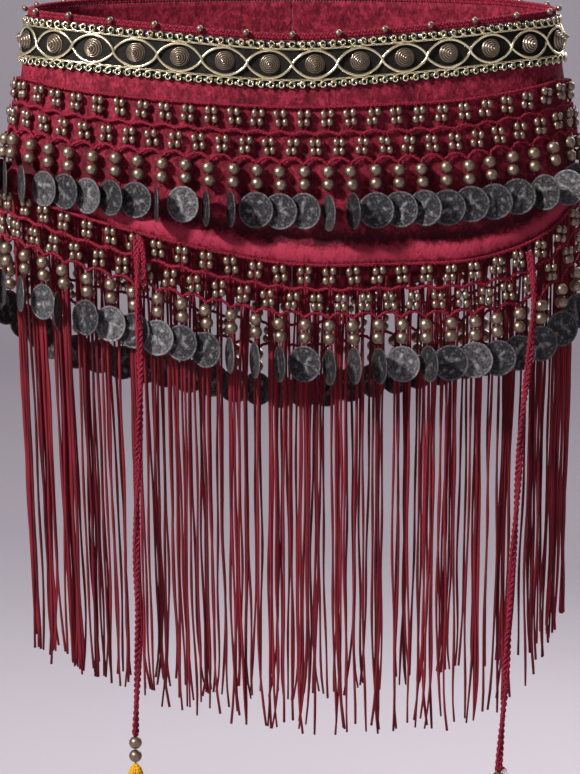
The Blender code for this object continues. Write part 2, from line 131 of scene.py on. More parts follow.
# Metal trim, in drops below the top edge
TRIM_TOP = 0.0003
TRIM_HEIGHT = 0.029
TRIM_MIDDLE = TRIM_TOP + TRIM_HEIGHT / 2
TRIM_WALL = 0.0010
TRIM_GROUND = SEAM_GAP + TRIM_WALL
RIBBON_ROWS = 9
RIBBON_CROWN = 0.0003
EYE_STEPS = 9
EYE_END = 0.02
EYE_POWER = 0.66
EYE_CROSSING = 0.0007
EYE_LIFT = 0.0004
STUD_SIDES = 20
STUD_ROWS = 40
STUD_TURNS = 5.0
STUD_POWER = 0.92
STUD_RIB = 0.00042
STUD_TIP_SHARE = 0.03
STUD_RIM_SHARE = 0.125
STUD_BASE = 0.0006
STUD_SINK = 0.0002
STUD_TONES = (0.35, 0.85)
STUD_WEAR = (0.56, 0.34, 0.1)  # middle, swing, base
BORDER_INSET = 0.0028
BORDERS = ((TRIM_TOP + BORDER_INSET, 1), (TRIM_TOP + TRIM_HEIGHT - BORDER_INSET, -1))
BORDER_END = 0.05
SCROLLS = 132
SCROLL_STEPS = 18
SCROLL_WIDTH = 0.0030
SCROLL_HEIGHT = 0.0023
SCROLL_WIRE = 0.00062
SCROLL_LIFT = (0.0014, 0.0004)
EDGE_STEPS = 4
EDGE_WIRE = 0.00045
EDGE_WIRE_PLACE = (0.0026, 0.0004)
SEED_BEAD = (0.00135, 0.00135, 8, 4)
SEED_PLACE = 0.25
SEED_SWINGS = (0.0007, -0.0008)
SEED_WAVE = 0.0004
SEED_LIFT = 0.0007
SEED_SHADES = np.array((
    (0.16, 0.24, 0.12, 1), (0.22, 0.12, 0.32, 1), (0.62, 0.50, 0.26, 1), (0.60, 0.32, 0.34, 1),
    (0.66, 0.60, 0.34, 1), (0.66, 0.64, 0.58, 1), (0.55, 0.46, 0.20, 1), (0.10, 0.16, 0.24, 1),
))

# Coin trims, in drops below their own top line
HEM_OVERLAP = 0.001
NET_STEPS = 12
NET_TOP = 0.0006
MESH_LINE = 0.0148
MESH_SWING = 0.0008
SCALLOP_CREST = 0.0287
SCALLOP_TIP = 0.0325
SCALLOP_POWER = 0.8
NET_OUTS = (0.0018, 0.0024, 0.0028)
NET_THREAD = 0.00070
NET_TWIST = (0.00055, 0.0028)
NET_FUZZ = ((0.00022, 5.3), (0.00016, 8.9))
NET_ROWS = ((np.arange(1, COLUMNS, 2.0), 0.0067), (np.arange(2, COLUMNS, 2.0), 0.0225))
NET_BEAD_DETAIL = (8, 5)
NET_BEAD_TONES = (0.25, 1.0)
NET_BEAD_PLACE = (0.0021, 0.00270, 0.0036)
NET_BEAD_JITTER = 0.00034
NET_BEAD_RATES = (2.3, 3.1, 4.7)
NET_BEAD_LEAN = 0.0006
BEAD_THREAD_STEPS = 7
GROUP_THREAD = 0.00036
GROUP_THREAD_FORM = (0.0021, 0.0074, 0.0034)
PENDANTS = NET_ROWS[0][0]
PENDANT_DETAIL = (10, 5)
PENDANT_TONES = (0.2, 1.0)
PENDANT_THREAD = 0.00045
PENDANT_THREAD_HALF = 0.0098
PENDANT_THREAD_DROP = 0.0088
PENDANT_THREAD_ROOT = 0.0012
PENDANT_JITTER = (0.0006, 0.0003, 0.0002)
PLAIN_WEAR = 0.55
BEAD_WEAR = 0.58
BEAD_OUT = 0.0048
COIN_SIDES = 32
COIN_RINGS = np.array((0.08, 0.17, 0.26, 0.35, 0.44, 0.53, 0.62, 0.70, 0.77, 0.84, 0.88, 0.92,
                       0.97, 1.0))
COIN_RIM = (0.86, 0.91)
COIN_DOTS = (0.77, 0.06)
COIN_LEAF = (0.45, 0.20)
COIN_BARS = (0.62, 0.42)
COIN_BOSS = (0.0, 0.15)
COIN_BACK_STEP = -3
COIN_RELIEF = 0.00042
COIN_TONES = (0.30, 0.75)  # dark coins, light coins
COIN_WEAR = (0.15, 0.38, 0.18)  # least, by relief, more on light coins
COIN_UNEVEN = 0.0004
COIN_CLEARANCE = 0.0024
COIN_HANG = 0.0008
COIN_TURN = 13.0
COIN_TURN_SPREAD = 26.0
COIN_EDGE_ON = 72.0
EDGE_ON_SHARE = 0.90
EDGE_ON = {"upper": (49, 53, 65, 81, 83), "lower": (41, 57, 59, 65, 67, 71)}
LIGHT_COINS = {"upper": (37, 39, 43, 51, 63), "lower": (37, 39, 45, 55, 69, 75)}
LIGHT_SHARE = 0.93
FIRST_COIN = {"upper": 0, "lower": 17}
CALM_REACH = 0.022

# Fringe
STRANDS = 140
STRAND_STEPS = 25
STRAND_PAIR = (-0.09, 0.09)
FRINGE_SEED = 7
STRIP_HEIGHT = 0.006
STRIP_WALL = 0.0012
STRIP_OUT = -0.0027
STRIP_MIDDLE = STRIP_OUT - STRIP_WALL / 2
STRIP_STEPS = 2
STRIP_ROWS = 4
# Size and rate of each wave along a strand, two aside and two in and out
STRAND_WAVES = ((0.0009, 7), (0.0006, 17), (0.0008, 6), (0.0005, 15))
STRAND_TONES = (0.15, 0.95)
STRAND_ROOT = 0.0035
STRAND_UNEVEN = 0.005
STRAND_PULL = 0.004
STRAND_CURL = 0.004
STRAND_PARTING = 0.0022
BUNCH_SWING = 0.0040
BUNCH_RATE = 1.8
BUNCH_DRIFT = (1.6, 0.31)
LEAN_LEFT = 0.925
LEAN_RIGHT = 0.965
LEAN_DEEP = 0.95
SINGLE_SHARE = 0.35
KNOT = (0.00135, 0.0022, 8, 4)
KNOT_DROP = 0.0008

# Hanging cords, by the same route points as their solids
LEFT_ROUTE = (
    (-0.0955, -0.0719, -0.0985), (-0.0952, -0.0737, -0.1030), (-0.0950, -0.0760, -0.1100),
    (-0.0949, -0.0776, -0.1200), (-0.0947, -0.0785, -0.1350), (-0.0940, -0.0790, -0.1550),
    (-0.0932, -0.0790, -0.1750), (-0.0932, -0.0785, -0.1950), (-0.0940, -0.0778, -0.2170),
    (-0.0949, -0.0772, -0.2400), (-0.0957, -0.0768, -0.2650), (-0.0962, -0.0766, -0.2900),
    (-0.0960, -0.0765, -0.3150), (-0.0953, -0.0765, -0.3400), (-0.0956, -0.0765, -0.3650),
    (-0.0966, -0.0765, -0.3880), (-0.0973, -0.0765, -0.4090),
)
RIGHT_ROUTE = (
    (0.1464, -0.0533, -0.1095), (0.1472, -0.0550, -0.1140), (0.1482, -0.0572, -0.1210),
    (0.1490, -0.0592, -0.1310), (0.1490, -0.0606, -0.1470), (0.1474, -0.0618, -0.1670),
    (0.1450, -0.0624, -0.1870), (0.1428, -0.0626, -0.2070), (0.1412, -0.0627, -0.2290),
    (0.1400, -0.0628, -0.2520), (0.1386, -0.0629, -0.2770), (0.1370, -0.0630, -0.3020),
    (0.1355, -0.0630, -0.3270), (0.1343, -0.0630, -0.3520), (0.1330, -0.0630, -0.3780),
    (0.1310, -0.0630, -0.4060), (0.1290, -0.0630, -0.4340),
)
ROUTES = {"left": LEFT_ROUTE, "right": RIGHT_ROUTE}
SPLINE_STEPS = 400
LAST_SHARE = 1e-6
CORD_DIAMETER = 0.005
CORD_STEP = 0.0009
PLAIT_DEPTH = 0.00075
PLAIT_PITCH = 0.0115
PLAIT_TWIST = 0.13
CORD_BEAD_RADIUS = 0.0040
CORD_BEAD_PITCH = 2 * CORD_BEAD_RADIUS + SEAM_GAP
CORD_BEAD_DETAIL = (20, 12)
TASSEL_STEPS = 18
TASSEL_LENGTH = 0.0615
TASSEL_UNEVEN = 0.003
TASSEL_RADIUS = 0.0052
TASSEL_FLARE = 0.0014
TASSEL_SWAY = 0.0004
TASSEL_WIND = 0.05
TASSEL_STEP = 0.37
TASSEL_TONES = (0.3, 0.9)
TASSEL_THREAD = 0.00042
NECK_SHARE = 0.62
HEAD_SHARE = 0.30
HEAD_ROUNDING = 0.10
BINDING_TURNS = 5
BINDING_STEPS = 120
BINDING_RADIUS = 0.0048
BINDING_DROP = 0.0098
BINDING_HEIGHT = 0.0026
DOUBLED_START = (0.0022, -0.0034, 0.0)
DOUBLED_RUN = (0.0034, -0.0022, -0.0255)
DOUBLED_STEPS = 60
DOUBLED_SWAY = 0.0007
DOUBLED_THREAD = 0.0008
DOUBLED_PLAIT = (0.0010, 0.0005, 0.0085)
CUT_END = (0.0024, -0.0012, 0.0030)
FRAYS = 7
FRAY_STEPS = 7
FRAY_RADIUS = 0.00032
FRAY_REACH = (0.0036, 0.0052)

# Finishes, with turns of a thread in a metre, and a weave's threads as radians in a metre
THREADS = (
    # name, light colour, dark colour with painted groove shade, plies, turns
    ("crochet_yarn", "crochet", "crochet_dark_and_shade", 2.0, 420.0),
    ("plait_thread", "crochet", "crochet_dark_and_shade", 3.0, 260.0),
    ("fringe_cord", "fringe", "fringe_dark_and_shade", 2.0, 700.0),
    ("tassel_yarn", "tassel", "tassel_dark_and_shade", 2.0, 500.0),
)
METALLIC = 0.92
METALS = (
    # name, colour, patina, bright, grain, polish, mottle, bump
    ("brass_wire", "brass", (0.04, 0.032, 0.012), (1.0, 0.92, 0.66), 260.0, 0.14, 0.5, 0.00005),
    ("bronze_beads", "bronze", (0.05, 0.036, 0.024), (0.60, 0.50, 0.40), 200.0, 0.24, 0.5, 0.00003),
    ("pressed_studs", "bronze", (0.05, 0.038, 0.025), (0.60, 0.51, 0.40), 300.0, 0.22, 0.2, 0.00002),
    ("worn_coins", "coin", (0.030, 0.029, 0.031), (0.42, 0.41, 0.41), 700.0, 0.29, 0.85, 0.00030),
)
THREAD_BUMP = 0.0004
VELVET_BUMP = {"Distance": 0.0012, "Strength": 0.5}
FIBRE_SCALE = 1500.0
TONE_SCALE = 55.0
GLINT_SCALE = 420.0
RIBBON_LIGHT = (0.026, 0.022, 0.011, 1)
# Dark of the ribbon's weave, also painted shade in its low parts
RIBBON_DARK_AND_SHADE = (0.003, 0.003, 0.005, 1)
RIBBON_THREADS = 5200.0
STRIP_THREADS = 3600.0
NAP_SCALE = 380.0
NAP_STRETCH = (1.0, 1.0, 0.7)
PATCH_SCALE = 110.0
PILE_SCALE = 1100.0
SEED_MOTTLE_SCALE = 700.0
BACKDROP_SCALE = 1.4
BACKDROP_SHADE = 0.93

# Camera and stage
CAMERA_PLACE = (-0.0013, -2.6, 0.115)
CAMERA_TARGET = (-0.0013, 0.0, -0.20)
CAMERA_LENS = 192.3
CAMERA_SENSOR = 36.0
CAMERA_FAR = 50.0
FLOOR_HEIGHT = -0.90
FLOOR_RINGS = (0.4, 2.4, 5.2)
BEND_START = 6.4
BEND_RADIUS = 1.2
BEND_STEPS = 13
WALL_TOP = 6.2
STAGE_SIDES = 96
BELT_TARGET = (0.0, 0.0, -0.12)
LIGHTS = (
    # name, place, target, size, power, colour
    ("key_light", (-1.90, -1.75, 1.55), BELT_TARGET, 0.32, 150.0, (1.0, 0.98, 0.96)),
    ("fill_light", (1.9, -2.3, 0.3), BELT_TARGET, 1.4, 5.0, (0.92, 0.95, 1.0)),
    ("top_light", (0.1, 0.2, 2.3), BELT_TARGET, 1.2, 14.0, (1.0, 1.0, 1.0)),
    ("back_light", (0.9, 2.3, 1.1), BELT_TARGET, 1.6, 50.0, (1.0, 0.98, 0.97)),
    ("back_wall_light", (0.0, 3.0, 3.2), (0.2, 7.6, -0.5), 2.0, 105.0, (1.0, 1.0, 1.0)),
    ("front_wall_light", (0.0, -3.2, 3.6), (0.0, -7.6, -0.3), 2.0, 70.0, (1.0, 1.0, 1.0)),
    ("left_wall_light", (-3.0, 0.0, 3.6), (-7.6, 0.0, -0.3), 2.0, 70.0, (1.0, 1.0, 1.0)),
    ("right_wall_light", (3.0, 0.0, 3.6), (7.6, 0.0, -0.3), 2.0, 70.0, (1.0, 1.0, 1.0)),
)
WORLD_COLOUR = (0.86, 0.87, 0.9, 1)
WORLD_STRENGTH = 0.09


# Small helpers

def scatter(number, step=GOLDEN):
    """Share from 0 to 1 for a number: the fraction left of the number times a step."""
    return (number * step) % 1.0


def between(limits, share):
    """Value at a share of the way from the first limit to the second."""
    return limits[0] + (limits[1] - limits[0]) * share


def bell(value, middle, width):
    """Bell curve of height one: e to the minus square of the distance in widths."""
    return np.exp(-((value - middle) / width) ** 2)


def ramp(value, low, high):
    """Share of the way from low to high, kept within 0 and 1."""
    return np.clip((value - low) / (high - low), 0.0, 1.0)


def signed_power(value, power):
    """Power of a value's size, with the value's own sign."""
    return np.sign(value) * np.abs(value) ** power


def stacked(*parts):
    """Coordinates broadcast to one shape and stacked as the last axis."""
    return np.stack(np.broadcast_arrays(*parts), axis=-1)


# Points on the cloth

def oval(angle, half_width, front_depth, back_depth):
    """Superellipse: x is a power of the sine of the angle and y a power of its cosine."""
    power = 2.0 / OVAL_POWER
    sine, cosine = np.sin(angle), np.cos(angle)
    depth = np.where(cosine > 0, front_depth, back_depth)
    return stacked(half_width * signed_power(sine, power), -depth * signed_power(cosine, power))


def cut(angle, column):
    """Value of the cut table at an angle: a running mean of straight lines between its rows."""
    total = 0.0
    for shift in np.linspace(-CUT_ROUNDING, CUT_ROUNDING, ROUNDING_STEPS):
        turned = np.degrees(angle + shift)
        total = total + np.interp(turned, CUT[:, 0], CUT[:, column], period=360)
    return total / ROUNDING_STEPS


def oval_at(angle, level):
    """Point of the cloth's oval section at a level, from 0 at the top edge to 1 at the hem."""
    sizes = [np.interp(level, SECTIONS[:, 0], SECTIONS[:, column]) for column in (1, 2, 3)]
    return oval(angle, *sizes)


def outward(angle, level):
    """Level unit vector out of the cloth: its slope along the oval, turned a quarter."""
    along = oval_at(angle + SLOPE_STEP, level) - oval_at(angle - SLOPE_STEP, level)
    return unit(stacked(along[..., 1], -along[..., 0]))


def level_out(angle):
    """The same vector at the hem's level, with its three parts."""
    flat = outward(angle, 1.0)
    return stacked(flat[..., 0], flat[..., 1], 0.0)


def panel_point(angle, drop, out):
    """Oval section at the drop's level, moved out, with a shallow sine fold round the belt."""
    angle, drop, out = np.broadcast_arrays(np.asarray(angle, float), drop, out)
    level = np.clip(drop / cut(angle, HEM_DROP), 0.0, 1.0)
    fold = FOLD_DEPTH * level * np.sin(FOLDS * angle)
    flat = oval_at(angle, level) + outward(angle, level) * (out + fold)[..., None]
    height = cut(angle, TOP_HEIGHT) - drop
    return np.concatenate((flat, height[..., None]), axis=-1)


def unit(vectors):
    """Vectors of length one."""
    return vectors / np.linalg.norm(vectors, axis=-1, keepdims=True)


def path_lengths(paths):
    """Length along paths (..., rows, 3), from the first point to each."""
    steps = np.linalg.norm(np.diff(paths, axis=-2), axis=-1)
    start = np.zeros(steps.shape[:-1] + (1,))
    return np.concatenate((start, np.cumsum(steps, axis=-1)), axis=-1)


def columns_round():
    """Angle of each column at equal lengths along the cloth, and that length."""
    angles = np.linspace(-np.pi, np.pi, OVAL_STEPS + 1)
    lengths = path_lengths(oval_at(angles, SECTIONS[1, 0]))
    wanted = np.linspace(END_GAP, lengths[-1] - END_GAP, COLUMNS + 1)
    return np.interp(wanted, lengths, angles), lengths[-1] / COLUMNS


ANGLES, COLUMN_LENGTH = columns_round()


def angle_of(column):
    """Angles of column numbers, which may lie between two columns."""
    return np.interp(column, np.arange(COLUMNS + 1), ANGLES)


def belt_columns(steps):
    """Column numbers round the whole belt, some to a column, with their angles."""
    columns = np.linspace(0, COLUMNS, COLUMNS * steps + 1)
    return columns, angle_of(columns)


def upper_net(angle, depth):
    """Drop of a depth in the upper trim, whose net is stretched by the cut table."""
    return cut(angle, UPPER_DROP) + depth * cut(angle, UPPER_STRETCH)


def lower_net(angle, depth):
    """Drop of a depth in the lower trim, which starts just above the hem."""
    return cut(angle, HEM_DROP) - HEM_OVERLAP + depth * cut(angle, LOWER_STRETCH)


def on_belt(column, drop, offsets):
    """Offsets (across, up, out) from places on the cloth, as points.

    Each place has its own level axes: out of the cloth, across it to the right, and up.
    """
    angle = angle_of(column)
    base = panel_point(angle, drop, 0.0)
    out = level_out(angle)
    across = stacked(-out[:, 1], out[:, 0], out[:, 2])
    up = np.broadcast_to(UP, base.shape)
    shape = (len(base),) + (1,) * (offsets.ndim - 2) + (3,)
    axes = (across, up, out)
    parts = (offsets[..., [part]] * axis.reshape(shape) for part, axis in enumerate(axes))
    return base.reshape(shape) + sum(parts)


# Meshes from grids of points

class Shape:
    """Grids of points collected into one mesh.

    A face's normal is its grid's row direction crossed with its column direction.
    """

    def __init__(self):
        """Starts with no points."""
        self.points, self.faces, self.uvs, self.marks = [], [], [], []
        self.count = 0

    def take(self, points, marks):
        """Stores points with their tone and their second mark (wear on metal, painted shading on the
        velvet), and returns their numbers.
        """
        index = self.count + np.arange(points[..., 0].size).reshape(points.shape[:-1])
        marks = np.broadcast_to(marks, points.shape[:-1] + (2,))
        self.points.append(points.reshape(-1, 3))
        self.marks.append(marks.reshape(-1, 2))
        self.count += index.size
        return index

    def link(self, index, uv):
        """Stores the quads of grids of point numbers, and their corners' UV."""
        for store, grid in ((self.faces, index), (self.uvs, uv)):
            store.append(np.stack((grid[:, :-1, :-1], grid[:, 1:, :-1],
                                   grid[:, 1:, 1:], grid[:, :-1, 1:]), axis=3))

    def add(self, grid, ends, along=None, tone=0.5, wear_and_shading=0.5):
        """Adds grids (copies, rows, columns, 3), closed round their columns and at both ends.

        UV is the share round the grid's columns, and the length along its rows in metres.
        """
        copies, rows, columns = grid.shape[:3]
        tone = np.broadcast_to(np.reshape(tone, (-1, 1, 1)), (copies, rows, columns))
        marks = stacked(tone, wear_and_shading)
        index = self.take(grid, marks)
        index = np.concatenate((index, index[:, :, :1]), axis=2)
        if along is None:
            along = np.linspace(0.0, 1.0, rows)
        along = np.broadcast_to(along, (copies, rows))
        share = np.linspace(0.0, 1.0, columns + 1)
        uv = stacked(share, along[:, :, None])
        self.link(index, uv)
        for row, order in ((0, slice(None)), (-1, slice(None, None, -1))):
            middle = self.take(ends[:, row], marks[:, row, 0])
            ring, ring_uv = index[:, row, order], uv[:, row, order]
            corners = np.broadcast_arrays(middle[:, None], ring[:, :-1], ring[:, 1:])
            self.faces.append(np.stack(corners, axis=-1))
            self.uvs.append(np.stack((ring_uv[:, :-1], ring_uv[:, :-1], ring_uv[:, 1:]), axis=2))

    def add_wall(self, columns, drop, outer, inner, wear_and_shading=0.5):
        """Adds a closed wall on the cloth between two distances out, with UV in metres."""
        angles = angle_of(columns)[None, :]
        uv = stacked(columns * COLUMN_LENGTH, drop)[None]
        marks = stacked(0.5, wear_and_shading)
        front, back = (self.take(panel_point(angles, drop, out)[None], marks)
                       for out in (outer, inner))
        self.link(front, uv)
        self.link(back[:, ::-1], uv[:, ::-1])
        rims = ((front[:, 0], back[:, 0], uv[:, 0]), (back[:, -1], front[:, -1], uv[:, -1]),
                (back[:, :, 0], front[:, :, 0], uv[:, :, 0]),
                (front[:, :, -1], back[:, :, -1], uv[:, :, -1]))
        for first, second, rim_uv in rims:
            self.link(np.stack((second, first), axis=1), np.stack((rim_uv, rim_uv), axis=1))

    def add_on_belt(self, columns, drops, form, ends, offset, tone=0.5, wear_and_shading=0.5):
        """Adds a form at places on the belt, moved by an offset (across, up, out)."""
        self.add(on_belt(columns, drops, moved(form, offset)),
                 on_belt(columns, drops, moved(ends, offset)), tone=tone, wear_and_shading=wear_and_shading)

    def build(self, name, finish, slot, *replaced, shades=None):
        """Turns the collected grids into one smooth piece at the origin."""
        mesh = bpy.data.meshes.new(name)
        faces = [grid.reshape(-1, grid.shape[-1]) for grid in self.faces]
        corners = np.concatenate([group.ravel() for group in faces])
        sizes = np.concatenate([np.full(len(group), group.shape[1]) for group in faces])
        uv = np.concatenate([group.reshape(-1, 2) for group in self.uvs])
        mesh.vertices.add(self.count)
        mesh.vertices.foreach_set("co", np.concatenate(self.points).ravel())
        mesh.loops.add(len(corners))
        mesh.loops.foreach_set("vertex_index", corners.astype(np.int32))
        mesh.polygons.add(len(sizes))
        mesh.polygons.foreach_set("loop_start", np.cumsum(sizes) - sizes)
        mesh.polygons.foreach_set("use_smooth", np.ones(len(sizes), dtype=bool))
        mesh.uv_layers.new(name="UVMap").data.foreach_set("uv", uv.ravel())
        for mark, values in zip(("tone", "wear_and_shading"), np.concatenate(self.marks).T):
            attribute = mesh.attributes.new(mark, "FLOAT", "POINT")
            attribute.data.foreach_set("value", np.ascontiguousarray(values))
        if shades is not None:
            attribute = mesh.attributes.new("shade", "FLOAT_COLOR", "POINT")
            attribute.data.foreach_set("color", shades.ravel())
        mesh.update(calc_edges=True)
        mesh.validate()
        mesh.materials.append(bpy.data.materials[finish])
        piece = put_in_scene(name, mesh)
        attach(piece, "root")
        if replaced:
            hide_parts(*replaced)
        return piece


def put_in_scene(name, data):
    """New object of some data in the scene."""
    thing = bpy.data.objects.new(name, data)
    bpy.context.scene.collection.objects.link(thing)
    return thing


def aim(thing, place, target):
    """Puts a camera or light at a place and turns it to a target."""
    thing.location = place
    thing.rotation_euler = (Vector(target) - Vector(place)).to_track_quat("-Z", "Y").to_euler()


def path_axes(paths, side):
    """Two unit vectors square to paths: one towards side, one square to that."""
    along = unit(np.gradient(paths, axis=-2))
    side = np.broadcast_to(side, paths.shape)
    first = unit(side - along * np.sum(side * along, axis=-1, keepdims=True))
    return first, np.cross(first, along)


def add_threads(shape, paths, radius, side, sides=5, tone=0.5, wear_and_shading=0.5):
    """Tubes along paths (copies, rows, 3): a circle carried square to each path."""
    first, second = path_axes(paths, side)
    turn = np.linspace(0.0, TWO_PI, sides, endpoint=False)
    radius = np.broadcast_to(radius, paths.shape[:2])[..., None, None]
    ring = (np.cos(turn)[:, None] * first[..., None, :]
            + np.sin(turn)[:, None] * second[..., None, :])
    shape.add(paths[..., None, :] + radius * ring, paths[:, [0, -1]], path_lengths(paths),
              tone, wear_and_shading)


def lathe(radius, height, sides):
    """Profile turned about the out axis, tip first, as (across, up, out)."""
    turn = np.linspace(0.0, TWO_PI, sides, endpoint=False)
    radius = np.asarray(radius)[:, None]
    height = np.reshape(height, (len(radius), -1))
    return stacked(radius * np.cos(turn), radius * np.sin(turn), height)


def bead_form(radius, half_height, sides, rings):
    """Oval bead with a dimple at each hole: sine and cosine of the turn from pole to pole."""
    turn = np.linspace(0.0, np.pi, rings + 2)[1:-1]
    form = lathe(radius * np.sin(turn), half_height * np.cos(turn), sides)[..., [1, 2, 0]]
    tips = np.outer((0.9, -0.9), (0.0, half_height, 0.0))
    return form[None], tips[None]


def moved(form, places):
    """Copies of offsets (1, ..., 3), one at each place (copies, 3)."""
    return form + np.reshape(places, (-1,) + (1,) * (form.ndim - 2) + (3,))


def smooth_route(route, spacing):
    """Points at even spacing on a smooth cubic curve through the route's own points."""
    route = np.array(route)
    ends = np.vstack((2 * route[0] - route[1], route, 2 * route[-1] - route[-2]))
    share = np.linspace(0.0, len(route) - 1 - LAST_SHARE, SPLINE_STEPS)
    index = share.astype(int)
    t = (share - index)[:, None]
    p0, p1, p2, p3 = (ends[index + step] for step in range(4))
    curve = 0.5 * (2 * p1 + (p2 - p0) * t + (2 * p0 - 5 * p1 + 4 * p2 - p3) * t ** 2
                   + (3 * p1 - p0 - 3 * p2 + p3) * t ** 3)
    lengths = path_lengths(curve)
    wanted = np.linspace(0.0, lengths[-1], int(round(lengths[-1] / spacing)) + 1)
    return np.stack([np.interp(wanted, lengths, curve[:, axis]) for axis in range(3)], axis=1)


def plaited(path, side, width, depth, pitch, twist=np.inf):
    """Paths of three plaited strands along one path (rows, 3).

    Each strand swings across as a sine of the length and in and out as a sine of twice that.
    The plait turns once in the length of a twist.
    """
    first, second = path_axes(path, side)
    lengths = path_lengths(path)
    spin = (lengths * (TWO_PI / twist))[:, None]
    across = second * np.cos(spin) + first * np.sin(spin)
    out = first * np.cos(spin) - second * np.sin(spin)
    phase = TWO_PI * (lengths / pitch + np.arange(3)[:, None] / 3)[..., None]
    return path + across * np.sin(phase) * width + out * np.sin(2 * phase) * depth


def twined(path, side, radius, pitch):
    """Paths of two strands twisted round one path (rows, 3): helices of one pitch."""
    first, second = path_axes(path, side)
    phase = TWO_PI * (path_lengths(path) / pitch + np.arange(2)[:, None] / 2)[..., None]
    return path + radius * (first * np.cos(phase) + second * np.sin(phase))


# Shader nodes

def add_node(tree, kind, inputs=None, **settings):
    """Adds a node with settings, and with inputs that are values or sockets to link from."""
    node = tree.nodes.new(kind)
    for key, value in settings.items():
        setattr(node, key, value)
    for key, value in (inputs or {}).items():
        if isinstance(value, bpy.types.NodeSocket):
            tree.links.new(value, node.inputs[key])
        else:
            node.inputs[key].default_value = value
    return node


def do_math(tree, operation, *values):
    """Output of a Math node."""
    return add_node(tree, "ShaderNodeMath", dict(enumerate(values)), operation=operation).outputs[0]


def scaled(tree, value, factor, extra):
    """Value times a factor, plus something."""
    return do_math(tree, "MULTIPLY_ADD", value, factor, extra)


def blend_colour(tree, factor, first, second):
    """Output of a colour mix from first to second."""
    node = add_node(tree, "ShaderNodeMix", {0: factor, 6: first, 7: second}, data_type="RGBA")
    return node.outputs[2]


def noise(tree, scale, detail=3.0, vector=None, distortion=0.0):
    """Noise value on object coordinates, or on another vector."""
    if vector is None:
        vector = add_node(tree, "ShaderNodeTexCoord").outputs["Object"]
    inputs = {"Vector": vector, "Scale": scale, "Detail": detail, "Distortion": distortion}
    return add_node(tree, "ShaderNodeTexNoise", inputs).outputs["Fac"]


def spread(tree, value, low, high):
    """Value moved from the range low to high into 0 to 1, and kept there."""
    inputs = {"Value": value, "From Min": low, "From Max": high}
    return add_node(tree, "ShaderNodeMapRange", inputs).outputs["Result"]


def mark(tree, name, output="Fac"):
    """Value or colour of one of the mesh's own marks."""
    return add_node(tree, "ShaderNodeAttribute", attribute_name=name).outputs[output]


def uv_parts(tree):
    """The two parts of the mesh's UV."""
    uv = add_node(tree, "ShaderNodeUVMap", uv_map="UVMap").outputs["UV"]
    return add_node(tree, "ShaderNodeSeparateXYZ", {"Vector": uv}).outputs[:2]


def shader_group(name, colours, values):
    """New node group with named inputs; its outputs are Color, Roughness and Height."""
    group = bpy.data.node_groups.new(name, "ShaderNodeTree")
    sockets = ([(label, "INPUT", "Color") for label in colours]
               + [(label, "INPUT", "Float") for label in values]
               + [("Color", "OUTPUT", "Color"), ("Roughness", "OUTPUT", "Float"),
                  ("Height", "OUTPUT", "Float")])
    for label, way, kind in sockets:
        group.interface.new_socket(name=label, in_out=way, socket_type=f"NodeSocket{kind}")
    return group, group.nodes.new("NodeGroupInput").outputs


def close_group(group, colour, roughness, height):
    """Links a group's three outputs."""
    add_node(group, "NodeGroupOutput",
             {"Color": colour, "Roughness": roughness, "Height": height})


def twisted_thread_group():
    """Plies that wind round a thread: a wave on the share round it plus the length along it. The
    colour darkens with the height, a painted shade in the grooves between the plies.
    """
    group, given = shader_group("twisted_thread", ("Light", "Dark"), ("Plies", "Turns"))
    around, along = uv_parts(group)
    phase = scaled(group, around, given["Plies"],
                   do_math(group, "MULTIPLY", along, given["Turns"]))
    wave = do_math(group, "SINE", do_math(group, "MULTIPLY", phase, TWO_PI))
    ply = scaled(group, wave, 0.5, 0.5)
    fibres = noise(group, FIBRE_SCALE, 2.0)
    patches = noise(group, TONE_SCALE, 2.0)
    depth = scaled(group, fibres, 0.5, do_math(group, "MULTIPLY", ply, 0.55))
    tone = spread(group, do_math(group, "ADD", patches, mark(group, "tone")), 0.35, 1.35)
    # Painted shade: the low parts between the plies take the dark colour; a low tone darkens the
    # whole thread
    share = do_math(group, "MULTIPLY", spread(group, depth, 0.12, 0.75), tone)
    colour = blend_colour(group, share, given["Dark"], given["Light"])
    close_group(group, colour, scaled(group, fibres, 0.25, 0.6), depth)


def worn_metal_group():
    """Patina in the hollows and bright wear on what stands up, over a mottled metal."""
    group, given = shader_group("worn_metal", ("Metal", "Patina", "Bright"),
                                ("Grain", "Polish", "Mottle"))
    mottle = noise(group, given["Grain"], 4.0)
    fine = noise(group, do_math(group, "MULTIPLY", given["Grain"], 5.0), 3.0)
    uneven = do_math(group, "ADD", scaled(group, fine, 0.6, -0.3),
                     do_math(group, "SUBTRACT", mottle, 0.5))
    raised = scaled(group, uneven, given["Mottle"], mark(group, "wear_and_shading"))
    base = blend_colour(group, spread(group, raised, 0.2, 0.6), given["Patina"], given["Metal"])
    shine = do_math(group, "MULTIPLY", spread(group, raised, 0.6, 0.95), mark(group, "tone"))
    colour = blend_colour(group, shine, base, given["Bright"])
    roughness = scaled(group, spread(group, raised, 0.9, 0.1), 0.30,
                       scaled(group, fine, 0.10, given["Polish"]))
    close_group(group, colour, roughness, scaled(group, mottle, 0.6, fine))


def weave_group():
    """Woven threads: a wave along the cloth times a wave across it, on its own UV in metres. The low
    parts take the dark colour, a painted shade between the threads.
    """
    group, given = shader_group("weave", ("Light", "Dark"), ("Threads",))
    waves = [do_math(group, "SINE", do_math(group, "MULTIPLY", part, given["Threads"]))
             for part in uv_parts(group)]
    cross = scaled(group, do_math(group, "MULTIPLY", *waves), 0.5, 0.5)
    glint = noise(group, GLINT_SCALE, 2.0)
    depth = scaled(group, glint, 0.6, do_math(group, "MULTIPLY", cross, 0.5))
    colour = blend_colour(group, spread(group, depth, 0.45, 0.95), given["Dark"], given["Light"])
    close_group(group, colour, scaled(group, glint, -0.4, 0.8), depth)


def new_finish(name, constants):
    """Node tree of a new material, and its Principled shader with some sockets set."""
    finish = bpy.data.materials.new(name)
    finish.use_nodes = True
    shader = finish.node_tree.nodes["Principled BSDF"]
    for key, value in constants.items():
        shader.inputs[key].default_value = value
    return finish.node_tree, shader


